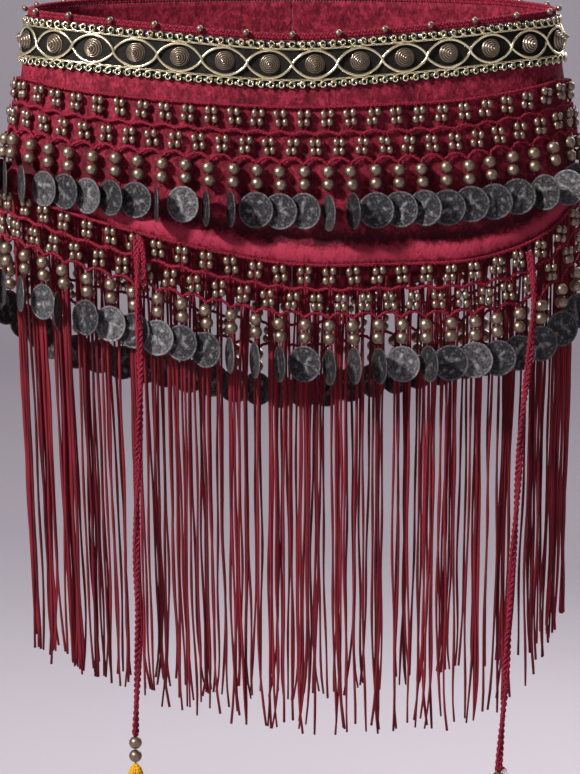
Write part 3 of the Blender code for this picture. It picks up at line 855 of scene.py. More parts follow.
def link_finish(tree, shader, colour, roughness, bump=None):
    """Links a shader's colour and roughness, and the normal of a bump node with these inputs."""
    tree.links.new(colour, shader.inputs["Base Color"])
    tree.links.new(roughness, shader.inputs["Roughness"])
    if bump:
        normal = add_node(tree, "ShaderNodeBump", bump).outputs["Normal"]
        tree.links.new(normal, shader.inputs["Normal"])


def finish_by_group(name, group, inputs, constants, bump):
    """Material whose colour, roughness and bump come from one of the groups."""
    tree, shader = new_finish(name, constants)
    made = add_node(tree, "ShaderNodeGroup", node_tree=bpy.data.node_groups[group])
    for key, value in inputs.items():
        made.inputs[key].default_value = value
    link_finish(tree, shader, made.outputs["Color"], made.outputs["Roughness"],
                {"Height": made.outputs["Height"], "Distance": bump})


def thread_finish(name, light, dark, plies, turns):
    """Twisted thread with a soft sheen."""
    inputs = {"Light": light, "Dark": dark, "Plies": plies, "Turns": turns}
    constants = {"Sheen Weight": 0.35, "Sheen Roughness": 0.4, "Sheen Tint": light,
                 "Specular IOR Level": 0.15}
    finish_by_group(name, "twisted_thread", inputs, constants, THREAD_BUMP)


def velvet_finish(plain, light, dark):
    """Crushed velvet: its nap lies in small patches that are light, plain or dark. Painted highlight
    on the cloth's crests and painted shade in its creases and hem trough are added to the lie.
    """
    tree, shader = new_finish("crushed_velvet", {
        "Sheen Weight": 0.25, "Sheen Roughness": 0.35, "Sheen Tint": light,
        "Specular IOR Level": 0.1})
    place = add_node(tree, "ShaderNodeTexCoord").outputs["Object"]
    stretched = add_node(tree, "ShaderNodeMapping", {"Vector": place, "Scale": NAP_STRETCH})
    nap = noise(tree, NAP_SCALE, 4.0, stretched.outputs["Vector"], 0.8)
    patches = noise(tree, PATCH_SCALE, 3.0)
    pile = noise(tree, PILE_SCALE, 2.0)
    # Painted shading: raises the lie on the cloth's crests and lowers it in its creases and the hem
    # trough
    painted_relief_shading = scaled(tree, mark(tree, "wear_and_shading"), 0.70, -0.36)
    nap_and_shading = do_math(tree, "ADD", scaled(tree, patches, 0.45, nap), scaled(tree, pile, 0.22, painted_relief_shading))
    deep = blend_colour(tree, spread(tree, nap_and_shading, 0.55, 0.82), dark, plain)
    colour = blend_colour(tree, spread(tree, nap_and_shading, 0.80, 1.05), deep, light)
    link_finish(tree, shader, colour, scaled(tree, pile, 0.25, 0.6),
                {"Height": scaled(tree, pile, 0.3, nap), **VELVET_BUMP})


def seed_bead_finish():
    """Small glossy beads, each in its own shade, with a thin clear coat."""
    tree, shader = new_finish("seed_beads", {
        "Metallic": 0.55, "Coat Weight": 0.5, "Coat Roughness": 0.1})
    mottle = noise(tree, SEED_MOTTLE_SCALE, 2.0)
    colour = blend_colour(tree, spread(tree, mottle, 0.3, 0.7), (0.02, 0.02, 0.02, 1),
                          mark(tree, "shade", "Color"))
    link_finish(tree, shader, colour, scaled(tree, mottle, 0.25, 0.12))


def backdrop_finish(colour):
    """Matt painted floor and wall with a faint mottle."""
    tree, shader = new_finish("painted_backdrop", {"Specular IOR Level": 0.1})
    mottle = noise(tree, BACKDROP_SCALE, 3.0)
    darker = (*(BACKDROP_SHADE * part for part in colour), 1)
    link_finish(tree, shader, blend_colour(tree, mottle, darker, (*colour, 1)),
                scaled(tree, mottle, 0.1, 0.85))


# Settings that a user would change

def length_setting(name, description, default):
    """Length setting in metres."""
    return FloatProperty(name=name, description=description, default=default, min=0.0,
                         unit="LENGTH", precision=5)


def colour_setting(name, description, default):
    """Colour setting."""
    return FloatVectorProperty(name=name, description=description, default=default, size=3,
                               subtype="COLOR", min=0.0, max=1.0)


class BeltSizes(bpy.types.PropertyGroup):
    """Sizes of the small parts of the belt."""
    crease_depth: length_setting("Crease depth", "How deep the velvet's creases are", 0.0011)
    hem_roll: length_setting("Hem roll", "How far the velvet swells out above the hem", 0.0018)
    wire_radius: length_setting("Wire radius", "Radius of the eye rings' wire", 0.00088)
    eye_height: length_setting("Eye height", "Half height of an eye ring", 0.0084)
    stud_radius: length_setting("Stud radius", "Radius of a cone stud", 0.0062)
    stud_height: length_setting("Stud height", "Height of a cone stud", 0.0066)
    small_bead_radius: length_setting("Small bead radius", "Radius of a net bead", 0.00208)
    small_bead_height: length_setting("Small bead height", "Half height of a net bead", 0.00275)
    large_bead_radius: length_setting("Large bead radius", "Radius of a pendant's bead", 0.0040)
    coin_radius: length_setting("Coin radius", "Radius of a coin", 0.0112)
    coin_wall: length_setting("Coin wall", "Thickness of a coin at its rim", 0.0011)
    strand_radius: length_setting("Strand radius", "Radius of a fringe strand", 0.00088)
    plait_radius: length_setting("Plait radius", "Radius of one strand of a cord", 0.00098)
    tassel_threads: IntProperty(name="Tassel threads", description="Threads of a tassel",
                                default=84, min=12, max=200)


class BeltColours(bpy.types.PropertyGroup):
    """Colours of the belt and its backdrop."""
    velvet: colour_setting("Velvet", "Plain lie of the velvet", (0.16, 0.0095, 0.022))
    # Light and dark lie also colour the velvet's painted highlight on its crests and painted shade in
    # its creases
    velvet_light_and_highlight: colour_setting("Velvet light", "Light lie of the velvet", (0.31, 0.027, 0.055))
    velvet_dark_and_shade: colour_setting("Velvet dark", "Dark lie of the velvet", (0.045, 0.004, 0.009))
    crochet: colour_setting("Crochet", "Crochet thread", (0.36, 0.018, 0.048))
    # Darker tone of the thread, and painted shade in the grooves between its plies
    crochet_dark_and_shade: colour_setting("Crochet dark", "Hollows of the thread", (0.050, 0.003, 0.008))
    fringe: colour_setting("Fringe", "Fringe strands", (0.29, 0.016, 0.032))
    # Darker tone of the strands, and painted shade in the grooves between their plies
    fringe_dark_and_shade: colour_setting("Fringe dark", "Hollows of the strands", (0.026, 0.002, 0.004))
    brass: colour_setting("Brass", "Wire of the metal trim", (0.66, 0.56, 0.31))
    bronze: colour_setting("Bronze", "Beads and studs", (0.26, 0.198, 0.145))
    coin: colour_setting("Coin", "Coins", (0.18, 0.175, 0.18))
    tassel: colour_setting("Tassel", "Tassel threads", (0.86, 0.50, 0.02))
    # Darker tone of the tassel, and painted shade in the grooves between its plies
    tassel_dark_and_shade: colour_setting("Tassel dark", "Hollows of the tassel", (0.50, 0.20, 0.005))
    backdrop: colour_setting("Backdrop", "Floor and wall", (0.50, 0.46, 0.51))


class BeltMaker(bpy.types.Operator):
    """Shared parts of the operators that make the belt's pieces"""
    bl_idname = "belt.maker"
    bl_label = "Belt maker"
    bl_options = {"REGISTER", "UNDO"}

    def execute(self, context):
        """Makes the pieces with the scene's settings."""
        self.make(context.scene.belt_sizes, context.scene.belt_colours)
        return {"FINISHED"}

    def make(self, sizes, colours):
        """Makes the pieces of one operator."""
        raise NotImplementedError(self.bl_idname)


class BELT_OT_camera(BeltMaker):
    """Sets the camera at the belt's front, a little above it"""
    bl_idname = "belt.camera"
    bl_label = "Camera"

    def make(self, sizes, colours):
        """Camera that looks down at the front of the belt."""
        lens = bpy.data.cameras.new("front_camera")
        lens.sensor_fit = "VERTICAL"
        lens.sensor_height = CAMERA_SENSOR
        lens.lens = CAMERA_LENS
        lens.clip_end = CAMERA_FAR
        camera = put_in_scene("front_camera", lens)
        aim(camera, CAMERA_PLACE, CAMERA_TARGET)
        bpy.context.scene.camera = camera


class BELT_OT_finishes(BeltMaker):
    """Makes the materials and the node groups that they share"""
    bl_idname = "belt.finishes"
    bl_label = "Materials"

    def make(self, sizes, colours):
        """Node groups first, then each material by name."""
        def full(name):
            """Colour setting with full opacity."""
            return (*getattr(colours, name), 1)

        twisted_thread_group()
        worn_metal_group()
        weave_group()
        velvet_finish(full("velvet"), full("velvet_light_and_highlight"), full("velvet_dark_and_shade"))
        for name, light, dark, plies, turns in THREADS:
            thread_finish(name, full(light), full(dark), plies, turns)
        for name, metal, patina, bright, grain, polish, mottle, bump in METALS:
            inputs = {"Metal": full(metal), "Patina": (*patina, 1), "Bright": (*bright, 1),
                      "Grain": grain, "Polish": polish, "Mottle": mottle}
            finish_by_group(name, "worn_metal", inputs, {"Metallic": METALLIC}, bump)
        weaves = (
            # Each weave's dark colour is also painted shade in its low parts
            ("dark_ribbon", RIBBON_LIGHT, RIBBON_DARK_AND_SHADE, RIBBON_THREADS, 0.12, 0.0003),
            ("fringe_strip", full("fringe"), full("fringe_dark_and_shade"), STRIP_THREADS, 0.2, 0.0004),
        )
        for name, light, dark, threads, specular, bump in weaves:
            finish_by_group(name, "weave", {"Light": light, "Dark": dark, "Threads": threads},
                            {"Specular IOR Level": specular}, bump)
        seed_bead_finish()


class BELT_OT_cords(BeltMaker):
    """Makes the two hanging cords with their beads and tassels"""
    bl_idname = "belt.cords"
    bl_label = "Hanging cords"

    def make(self, sizes, colours):
        """Each cord is a plait of three strands; beads and a tassel hang on its lower end."""
        for side, route in ROUTES.items():
            path = smooth_route(route, CORD_STEP)
            shape = Shape()
            strands = plaited(path, FRONT, CORD_DIAMETER / 2 - sizes.plait_radius,
                              PLAIT_DEPTH, PLAIT_PITCH, PLAIT_TWIST)
            add_threads(shape, strands, sizes.plait_radius, FRONT, sides=8)
            plait = shape.build(f"{side}_plait", "plait_thread", "crochet_thread",
                                f"{side}_cord")
            beads = self.make_beads(side, path[-1])
            tassel = self.make_tassel(side, path[-1], sizes.tassel_threads)
            ends = self.make_ends(side, path)

    def make_beads(self, side, end):
        """Two round beads below the end of the plait, by an oval turned about the cord."""
        drops = SEAM_GAP + CORD_BEAD_RADIUS + CORD_BEAD_PITCH * np.arange(2)
        places = end - np.outer(drops, UP)
        form, tips = bead_form(CORD_BEAD_RADIUS, CORD_BEAD_RADIUS, *CORD_BEAD_DETAIL)
        shape = Shape()
        shape.add(moved(form[..., [0, 2, 1]] * (1.0, -1.0, 1.0), places),
                  moved(tips[..., [0, 2, 1]], places), tone=(0.5, 0.8), wear_and_shading=PLAIN_WEAR)
        return shape.build(f"{side}_plait_beads", "bronze_beads", "bronze_bead",
                           f"{side}_cord_bead_1", f"{side}_cord_bead_2")

    def make_tassel(self, side, end, count):
        """Threads folded over a neck: each drops from the head and flares as a root of its length."""
        top = end - np.multiply(2 * CORD_BEAD_PITCH + SEAM_GAP, UP)
        number = np.arange(count)[:, None]
        share = np.sqrt((number + 0.5) / count)
        t = np.linspace(0.0, 1.0, TASSEL_STEPS)
        head = (HEAD_SHARE * np.sin(np.pi * ramp(t, 0.0, HEAD_SHARE))
                + NECK_SHARE * np.sqrt(ramp(t, 0.0, HEAD_ROUNDING)))
        radius = (TASSEL_RADIUS * head * share + TASSEL_FLARE * share * t ** 1.5
                  + TASSEL_SWAY * t * np.sin(9 * t + number))
        turn = TWO_PI * GOLDEN * number + TASSEL_WIND * np.sin(5 * t + 1.7 * number) * t
        fall = TASSEL_LENGTH - TASSEL_UNEVEN * scatter(number, TASSEL_STEP)
        paths = top + stacked(radius * np.cos(turn), radius * np.sin(turn), -fall * t)
        shape = Shape()
        add_threads(shape, paths, TASSEL_THREAD, (0.3, -1.0, 0.1),
                    tone=between(TASSEL_TONES, scatter(number)))
        spin = np.linspace(0.0, BINDING_TURNS * TWO_PI, BINDING_STEPS)
        binding = top + stacked(BINDING_RADIUS * np.cos(spin), BINDING_RADIUS * np.sin(spin),
                                -BINDING_DROP - BINDING_HEIGHT * spin / spin[-1])
        add_threads(shape, binding[None], TASSEL_THREAD, UP, sides=6)
        return shape.build(f"{side}_tassel_threads", "tassel_yarn", "tassel_thread",
                           f"{side}_tassel")

    def make_ends(self, side, path):
        """Left: a doubled end of the plait beside its top. Right: cut ends above the beads.

        Fine fibres fan out downward from either, each along a straight line that droops.
        """
        shape = Shape()
        tip = path[-1] + CUT_END
        if side == "left":
            t = np.linspace(0.0, 1.0, DOUBLED_STEPS)[:, None]
            doubled = path[0] + DOUBLED_START + t * DOUBLED_RUN
            doubled[:, :1] += DOUBLED_SWAY * np.sin(4.5 * t)
            add_threads(shape, plaited(doubled, FRONT, *DOUBLED_PLAIT), DOUBLED_THREAD, FRONT,
                        sides=7, tone=(0.5, 0.7, 0.9))
            tip = doubled[-1]
        number = np.arange(FRAYS)[:, None]
        turn = np.pi * (0.16 + 0.115 * number)
        t = np.linspace(0.0, 1.0, FRAY_STEPS)
        fan = stacked(np.cos(turn) * t, -0.25 * np.sin(3 * number) * t,
                      -np.sin(turn) * t - 0.25 * t ** 2)
        reach = between(FRAY_REACH, scatter(number))[..., None]
        add_threads(shape, tip + reach * fan, FRAY_RADIUS * (1 - 0.4 * t), (0.2, 1.0, 0.1),
                    tone=scatter(number))
        return shape.build(f"{side}_plait_ends", "crochet_yarn", "crochet_thread")


def crease_depth(length, level):
    """Sum of bell-shaped creases, each at its own place, slope, width and reach down the cloth."""
    total = np.zeros(np.broadcast(length, level).shape)
    for number in range(CREASES):
        share, other = scatter(number), scatter(number, SECOND_STEP)
        place = (number + CREASE_JITTER * share) / CREASES * COLUMNS * COLUMN_LENGTH
        middle = between(CREASE_MIDDLE, scatter(number, THIRD_STEP))
        leaning = place + CREASE_LEAN * (other - 0.5) * (level - middle)
        total = total - (between(CREASE_SHARE, share)
                         * bell(length, leaning, between(CREASE_WIDTH, other))
                         * bell(level, middle, between(CREASE_REACH, share)))
    return total


class BELT_OT_panel(BeltMaker):
    """Makes the velvet panel with its creases"""
    bl_idname = "belt.panel"
    bl_label = "Velvet panel"

    def make(self, sizes, colours):
        """Two layers of the cloth's points, moved in and out by creases and by the hem's swell."""
        columns, angles = belt_columns(PANEL_STEPS)
        level = np.linspace(0.0, 1.0, PANEL_ROWS)[:, None]
        hem = cut(angles, HEM_DROP)
        drop = level * hem
        above_hem = hem - drop
        creases = sizes.crease_depth * crease_depth(columns * COLUMN_LENGTH, level)
        creases = creases * np.clip(above_hem / CREASE_FADE, CREASE_LEFT_AT_HEM, 1.0)
        swell = sizes.hem_roll * (bell(above_hem, *HEM_SWELL)
                                  - TROUGH_SHARE * bell(above_hem, *HEM_TROUGH))
        trim_end = TRIM_TOP + TRIM_HEIGHT
        out = ramp(drop, trim_end, trim_end + TRIM_FADE) * (creases + swell)
        shape = Shape()
        # Second mark here is painted shading: high where the cloth stands out on its crests and hem
        # roll, low in its creases and in the trough above the hem
        shape.add_wall(columns, drop, out, out - PANEL_WALL,
                       wear_and_shading=np.clip(0.5 + out / SHADING_DEPTH, 0.0, 1.0))
        cloth = shape.build("velvet_cloth", "crushed_velvet", "velvet", "velvet_panel")
        flat_width = path_lengths(panel_point(angles, hem, 0.0))[-1]


class BELT_OT_edging(BeltMaker):
    """Makes the crochet braid along the top edge and the beads on it"""
    bl_idname = "belt.edging"
    bl_label = "Top edging"

    def make(self, sizes, colours):
        """A flat plait of three threads along the top edge, with a bead every few columns."""
        angles = belt_columns(EDGING_STEPS)[1]
        out = level_out(angles)
        path = panel_point(angles, EDGING_DROP, -PANEL_WALL / 2)
        shape = Shape()
        add_threads(shape, plaited(path, out, *EDGING_PLAIT), EDGING_THREAD, out, sides=6,
                    tone=(0.4, 0.6, 0.8))
        shape.build("edging_plait", "crochet_yarn", "crochet_thread", "edging_braid")
        places = (FRONT_COLUMN + np.arange(EDGING_BEADS) * COLUMNS / EDGING_BEADS) % COLUMNS
        shape = Shape()
        shape.add_on_belt(places, EDGING_BEAD_DROP, *bead_form(*EDGING_BEAD), EDGING_BEAD_OUT,
                          tone=scatter(places), wear_and_shading=PLAIN_WEAR)
        shape.build("edging_beads", "bronze_beads", "bronze_bead")


class BELT_OT_metal_trim(BeltMaker):
    """Makes the ribbon with its eye rings, cone studs, scrolls and seed beads"""
    bl_idname = "belt.metal_trim"
    bl_label = "Metal trim"

    def make(self, sizes, colours):
        """Each row of the trim by its own surface."""
        self.make_ribbon()
        self.make_rings(sizes)
        self.make_studs(sizes)
        self.make_scrolls()
        self.make_seed_beads()

    def make_ribbon(self):
        """Ribbon on the cloth: two layers of its points, a little crowned across."""
        columns, angles = belt_columns(PANEL_STEPS)
        share = np.linspace(0.0, 1.0, RIBBON_ROWS)[:, None]
        drop = TRIM_TOP + TRIM_HEIGHT * share + 0 * angles
        crown = RIBBON_CROWN * np.sin(np.pi * share)
        shape = Shape()
        shape.add_wall(columns, drop, TRIM_GROUND - RIBBON_CROWN + crown, SEAM_GAP)
        ribbon = shape.build("trim_ribbon", "dark_ribbon", "antique_brass", "metal_trim")
        middle = panel_point(angles, TRIM_MIDDLE, TRIM_GROUND)

    def make_rings(self, sizes):
        """Two wires that swing up and down as powers of a sine and cross between the eyes."""
        columns = np.linspace(EYE_END, COLUMNS - EYE_END, COLUMNS * EYE_STEPS)
        turn = np.pi * columns / EYE_COLUMNS
        swing = sizes.eye_height * signed_power(np.sin(turn), EYE_POWER)
        shape = Shape()
        for sign in (1, -1):
            lift = (TRIM_GROUND + sizes.wire_radius + EYE_LIFT
                    + sign * EYE_CROSSING * np.cos(turn) ** 8)
            path, under = (panel_point(angle_of(columns), TRIM_MIDDLE - sign * swing, out)
                           for out in (lift, lift - TRIM_WALL))
            add_threads(shape, path[None], sizes.wire_radius, path - under, sides=8, tone=0.9,
                        wear_and_shading=0.85)
        shape.build("trim_eye_wires", "brass_wire", "antique_brass")

    def make_studs(self, sizes):
        """Cones with a spiral rib: a line from rim to tip plus a wave of radius and turn."""
        share = np.linspace(STUD_TIP_SHARE, 1.0, STUD_ROWS)[:, None]
        turn = np.linspace(0.0, TWO_PI, STUD_SIDES, endpoint=False)
        wave = np.cos(TWO_PI * STUD_TURNS * share + turn)
        height = (sizes.stud_height * (1 - share ** STUD_POWER) + STUD_BASE
                  + STUD_RIB * wave * ramp(1 - share, 0.0, STUD_RIM_SHARE))
        base = np.zeros((1, STUD_SIDES))
        form = lathe(sizes.stud_radius * np.append(share, 1.0),
                     np.vstack((height, base)) - STUD_SINK, STUD_SIDES)[None]
        tips = np.outer((sizes.stud_height + STUD_BASE, -STUD_SINK), (0.0, 0.0, 1.0))[None]
        places = EYE_COLUMNS * (np.arange(EYES) + 0.5)
        middle, swing, foot = STUD_WEAR
        shape = Shape()
        shape.add_on_belt(places, TRIM_MIDDLE, form, tips, (0.0, 0.0, TRIM_GROUND),
                          tone=between(STUD_TONES, scatter(places)),
                          wear_and_shading=np.vstack((middle + swing * wave, base + foot)))
        shape.build("trim_cone_studs", "pressed_studs", "antique_brass")

    def make_scrolls(self):
        """A wire along each edge of the trim that loops as a long trochoid, and a straight one."""
        turn = np.linspace(0.0, SCROLLS * TWO_PI, SCROLLS * SCROLL_STEPS + 1)
        loops = COLUMNS / SCROLLS / TWO_PI * turn - SCROLL_WIDTH / COLUMN_LENGTH * np.sin(turn)
        loops = np.clip(loops, BORDER_END, COLUMNS - BORDER_END)
        edge = np.linspace(BORDER_END, COLUMNS - BORDER_END, COLUMNS * EDGE_STEPS)
        lift, sway = SCROLL_LIFT
        down, out = EDGE_WIRE_PLACE
        shape = Shape()
        for drop, sign in BORDERS:
            path = panel_point(angle_of(loops), drop - sign * SCROLL_HEIGHT * np.cos(turn),
                               TRIM_GROUND + lift + sway * np.sin(turn))
            add_threads(shape, path[None], SCROLL_WIRE, UP, tone=0.95, wear_and_shading=0.8)
            path = panel_point(angle_of(edge), drop + sign * down, TRIM_GROUND + out)
            add_threads(shape, path[None], EDGE_WIRE, UP, tone=0.8, wear_and_shading=0.7)
        shape.build("trim_scroll_wires", "brass_wire", "antique_brass")

    def make_seed_beads(self):
        """Seed beads in and between the scrolls, each oval placed by its number."""
        number = np.arange(SCROLLS * 2)
        places = np.clip((number + SEED_PLACE) * COLUMNS / len(number), SEED_PLACE,
                         COLUMNS - SEED_PLACE)
        form, tips = bead_form(*SEED_BEAD)
        shape, shades = Shape(), []
        for drop, sign in BORDERS:
            swing = np.where(number % 2 == 0, *SEED_SWINGS) * sign
            shape.add_on_belt(places, drop + swing + SEED_WAVE * np.sin(2.4 * number), form, tips,
                              (0.0, 0.0, TRIM_GROUND + SEED_LIFT))
            chosen = SEED_SHADES[(number * 5 + (number // 3) * (2 + sign)) % len(SEED_SHADES)]
            shades += [np.repeat(chosen, form[..., 0].size, axis=0), chosen, chosen]
        shape.build("trim_seed_beads", "seed_beads", "antique_brass",
                    shades=np.concatenate(shades))


def coin_turns(name):
    """Turn of each coin about its thread: edge on by the table or by its share.

    The lower trim's coins that hang behind one of the cords all have the plain turn.
    """
    share = scatter(PENDANTS)
    edge_on = np.isin(PENDANTS, EDGE_ON[name]) | (share > EDGE_ON_SHARE)
    turn = np.where(edge_on, COIN_EDGE_ON, COIN_TURN + COIN_TURN_SPREAD * share ** 2)
    if name == "lower":
        places = oval_at(angle_of(PENDANTS), 1.0)
        gaps = [np.linalg.norm(places - route[0][:2], axis=1) for route in ROUTES.values()]
        turn = np.where(np.minimum(*gaps) < CALM_REACH, COIN_TURN, turn)
    return np.radians(turn)


def coin_relief(share, turn, number):
    """Height of a coin's face: a raised rim, a ring of dots, and petals and bars inside it."""
    petals = 5 + number % 3
    spin = 2.4 * number
    dots = bell(share, *COIN_DOTS) * np.clip(np.cos(14 * turn + spin), 0.0, 1.0)
    leaf = bell(share, *COIN_LEAF) * np.cos(petals * turn + spin + 4 * share)
    bars = ramp(share, *COIN_BARS) * np.sin(9 * share * np.cos(turn - spin))
    return (0.6 * ramp(share, *COIN_RIM) + 0.9 * dots + 0.9 * np.clip(leaf, -0.2, 1.0)
            + 0.7 * bars + 0.6 * bell(share, *COIN_BOSS))


def turned(points, turns, out):
    """Points turned about the up axis and moved out."""
    shape = (-1,) + (1,) * (points.ndim - 2)
    cosine, sine = np.cos(turns).reshape(shape), np.sin(turns).reshape(shape)
    across = points[..., 0] * cosine - points[..., 2] * sine
    away = points[..., 0] * sine + points[..., 2] * cosine + out.reshape(shape)
    return stacked(across, points[..., 1], away)


class BELT_OT_coin_trims(BeltMaker):
    """Makes both coin trims: crochet net, net beads, pendant beads and coins"""
    bl_idname = "belt.coin_trims"
    bl_label = "Coin trims"

    def make(self, sizes, colours):
        """The upper trim lies on the panel and the lower one hangs from the hem."""
        for name, net in (("upper", upper_net), ("lower", lower_net)):
            tips = net(angle_of(PENDANTS), SCALLOP_TIP)
            self.make_net(name, net, tips)
            self.make_net_beads(name, net, sizes)
            self.make_pendants(name, tips, sizes.large_bead_radius)
            self.make_coins(name, tips, sizes)

    def make_net(self, name, net, tips):
        """Twisted threads in three lines: nearly straight ones, and scallops by a cosine's power.

        Finer threads go down through each group of net beads and through each pendant.
        """
        columns, angles = belt_columns(NET_STEPS)
        wave = np.pi * columns
        fuzz = sum(size * np.sin(rate * wave) for size, rate in NET_FUZZ)
        rise = (SCALLOP_TIP - SCALLOP_CREST) * np.abs(np.cos(wave / 2)) ** SCALLOP_POWER
        depths = (NET_TOP + fuzz, MESH_LINE + MESH_SWING * np.cos(wave) - fuzz,
                  SCALLOP_TIP - rise + fuzz)
        shape = Shape()
        for depth, out in zip(depths, NET_OUTS):
            path = panel_point(angles, net(angles, depth), out)
            add_threads(shape, twined(path, UP, *NET_TWIST), NET_THREAD, UP, tone=(0.5, 0.75))
        t = np.linspace(-1.0, 1.0, BEAD_THREAD_STEPS)
        width, half, out = GROUP_THREAD_FORM
        for columns, depth in NET_ROWS:
            for sign in (-1, 1):
                offsets = stacked(sign * width * (1 - 0.75 * np.abs(t) ** 5), -half * t, out)[None]
                add_threads(shape, on_belt(columns, net(angle_of(columns), depth), offsets),
                            GROUP_THREAD, (0.0, 0.3, 0.2), sides=4)
        root = PENDANT_THREAD_ROOT * np.clip(-t, 0, 1) ** 3
        offsets = stacked(0.0, -PENDANT_THREAD_HALF * t, BEAD_OUT - root)[None]
        add_threads(shape, on_belt(PENDANTS, tips + PENDANT_THREAD_DROP, offsets),
                    PENDANT_THREAD, (0.3, 0.0, 0.2), sides=4)
        shape.build(f"{name}_net_threads", "crochet_yarn", "crochet_thread",
                    f"{name}_trim_left", f"{name}_trim_right")

    def make_net_beads(self, name, net, sizes):
        """Groups of two by two oval beads; the second row stands half a pitch off the first."""
        form, tips = bead_form(sizes.small_bead_radius, sizes.small_bead_height, *NET_BEAD_DETAIL)
        shape = Shape()
        for row, (columns, depth) in enumerate(NET_ROWS):
            for part, (side, half) in enumerate(((1, 1), (-1, 1), (1, -1), (-1, -1))):
                number = columns * 4 + part + 200 * row
                offset = (np.multiply(NET_BEAD_PLACE, (side, half, 1))
                          + NET_BEAD_JITTER * np.sin(np.outer(number, NET_BEAD_RATES)))
                offset[:, 0] += NET_BEAD_LEAN * np.sin(columns * 1.9 + row) * half
                shape.add_on_belt(columns, net(angle_of(columns), depth), form, tips, offset,
                                  tone=between(NET_BEAD_TONES, scatter(number)), wear_and_shading=BEAD_WEAR)
        shape.build(f"{name}_net_beads", "bronze_beads", "bronze_bead")

    def make_pendants(self, name, tips, radius):
        """Two round beads below each scallop's tip, turned a little aside by a sine."""
        form = bead_form(radius, radius, *PENDANT_DETAIL)
        across, up, out = PENDANT_JITTER
        shape = Shape()
        for number in range(2):
            seed = PENDANTS * (2.1 + number)
            offset = stacked(across * np.sin(seed), up * np.sin(2 * PENDANTS),
                             BEAD_OUT + out * np.sin(seed * 1.7))
            shape.add_on_belt(PENDANTS, tips + radius * (1 + 2 * number), *form, offset,
                              tone=between(PENDANT_TONES, scatter(PENDANTS + 7 * number)),
                              wear_and_shading=BEAD_WEAR)
        shape.build(f"{name}_pendant_beads", "bronze_beads", "bronze_bead")

    def make_coins(self, name, tips, sizes):
        """Round coins turned about their threads; both faces carry a relief."""
        number = np.arange(len(PENDANTS)) + FIRST_COIN[name]
        around = np.linspace(0.0, TWO_PI, COIN_SIDES, endpoint=False)
        face = coin_relief(COIN_RINGS[:, None], around, number[:, None, None])
        back = face[:, ::COIN_BACK_STEP]
        half = sizes.coin_wall / 2
        height = np.concatenate((COIN_RELIEF * (face - 1) + half,
                                 -(COIN_RELIEF * (back - 1) + half)), axis=1)
        rings = np.append(COIN_RINGS, COIN_RINGS[::COIN_BACK_STEP])[:, None]
        radius = sizes.coin_radius * rings
        form = stacked(radius * np.cos(around), radius * np.sin(around), height)
        middles = np.outer((half, -half), (0.0, 0.0, 1.0))[None]
        turns = coin_turns(name)
        out = np.maximum(BEAD_OUT, COIN_CLEARANCE + sizes.coin_radius * np.sin(turns))
        drops = (tips + 4 * sizes.large_bead_radius + COIN_HANG + sizes.coin_radius
                 + COIN_UNEVEN * np.sin(3.7 * number))
        light = (np.isin(PENDANTS, LIGHT_COINS[name])
                 | (scatter(number, SECOND_STEP) > LIGHT_SHARE))
        worn = np.clip(np.concatenate((face, back), axis=1), 0.0, 1.2)
        least, by_relief, more = COIN_WEAR
        shape = Shape()
        shape.add(on_belt(PENDANTS, drops, turned(form, turns, out)),
                  on_belt(PENDANTS, drops, turned(middles, turns, out)),
                  tone=between(COIN_TONES, light),
                  wear_and_shading=least + by_relief * worn + more * light[:, None, None])
        shape.build(f"{name}_coins", "worn_coins", "coin_metal")


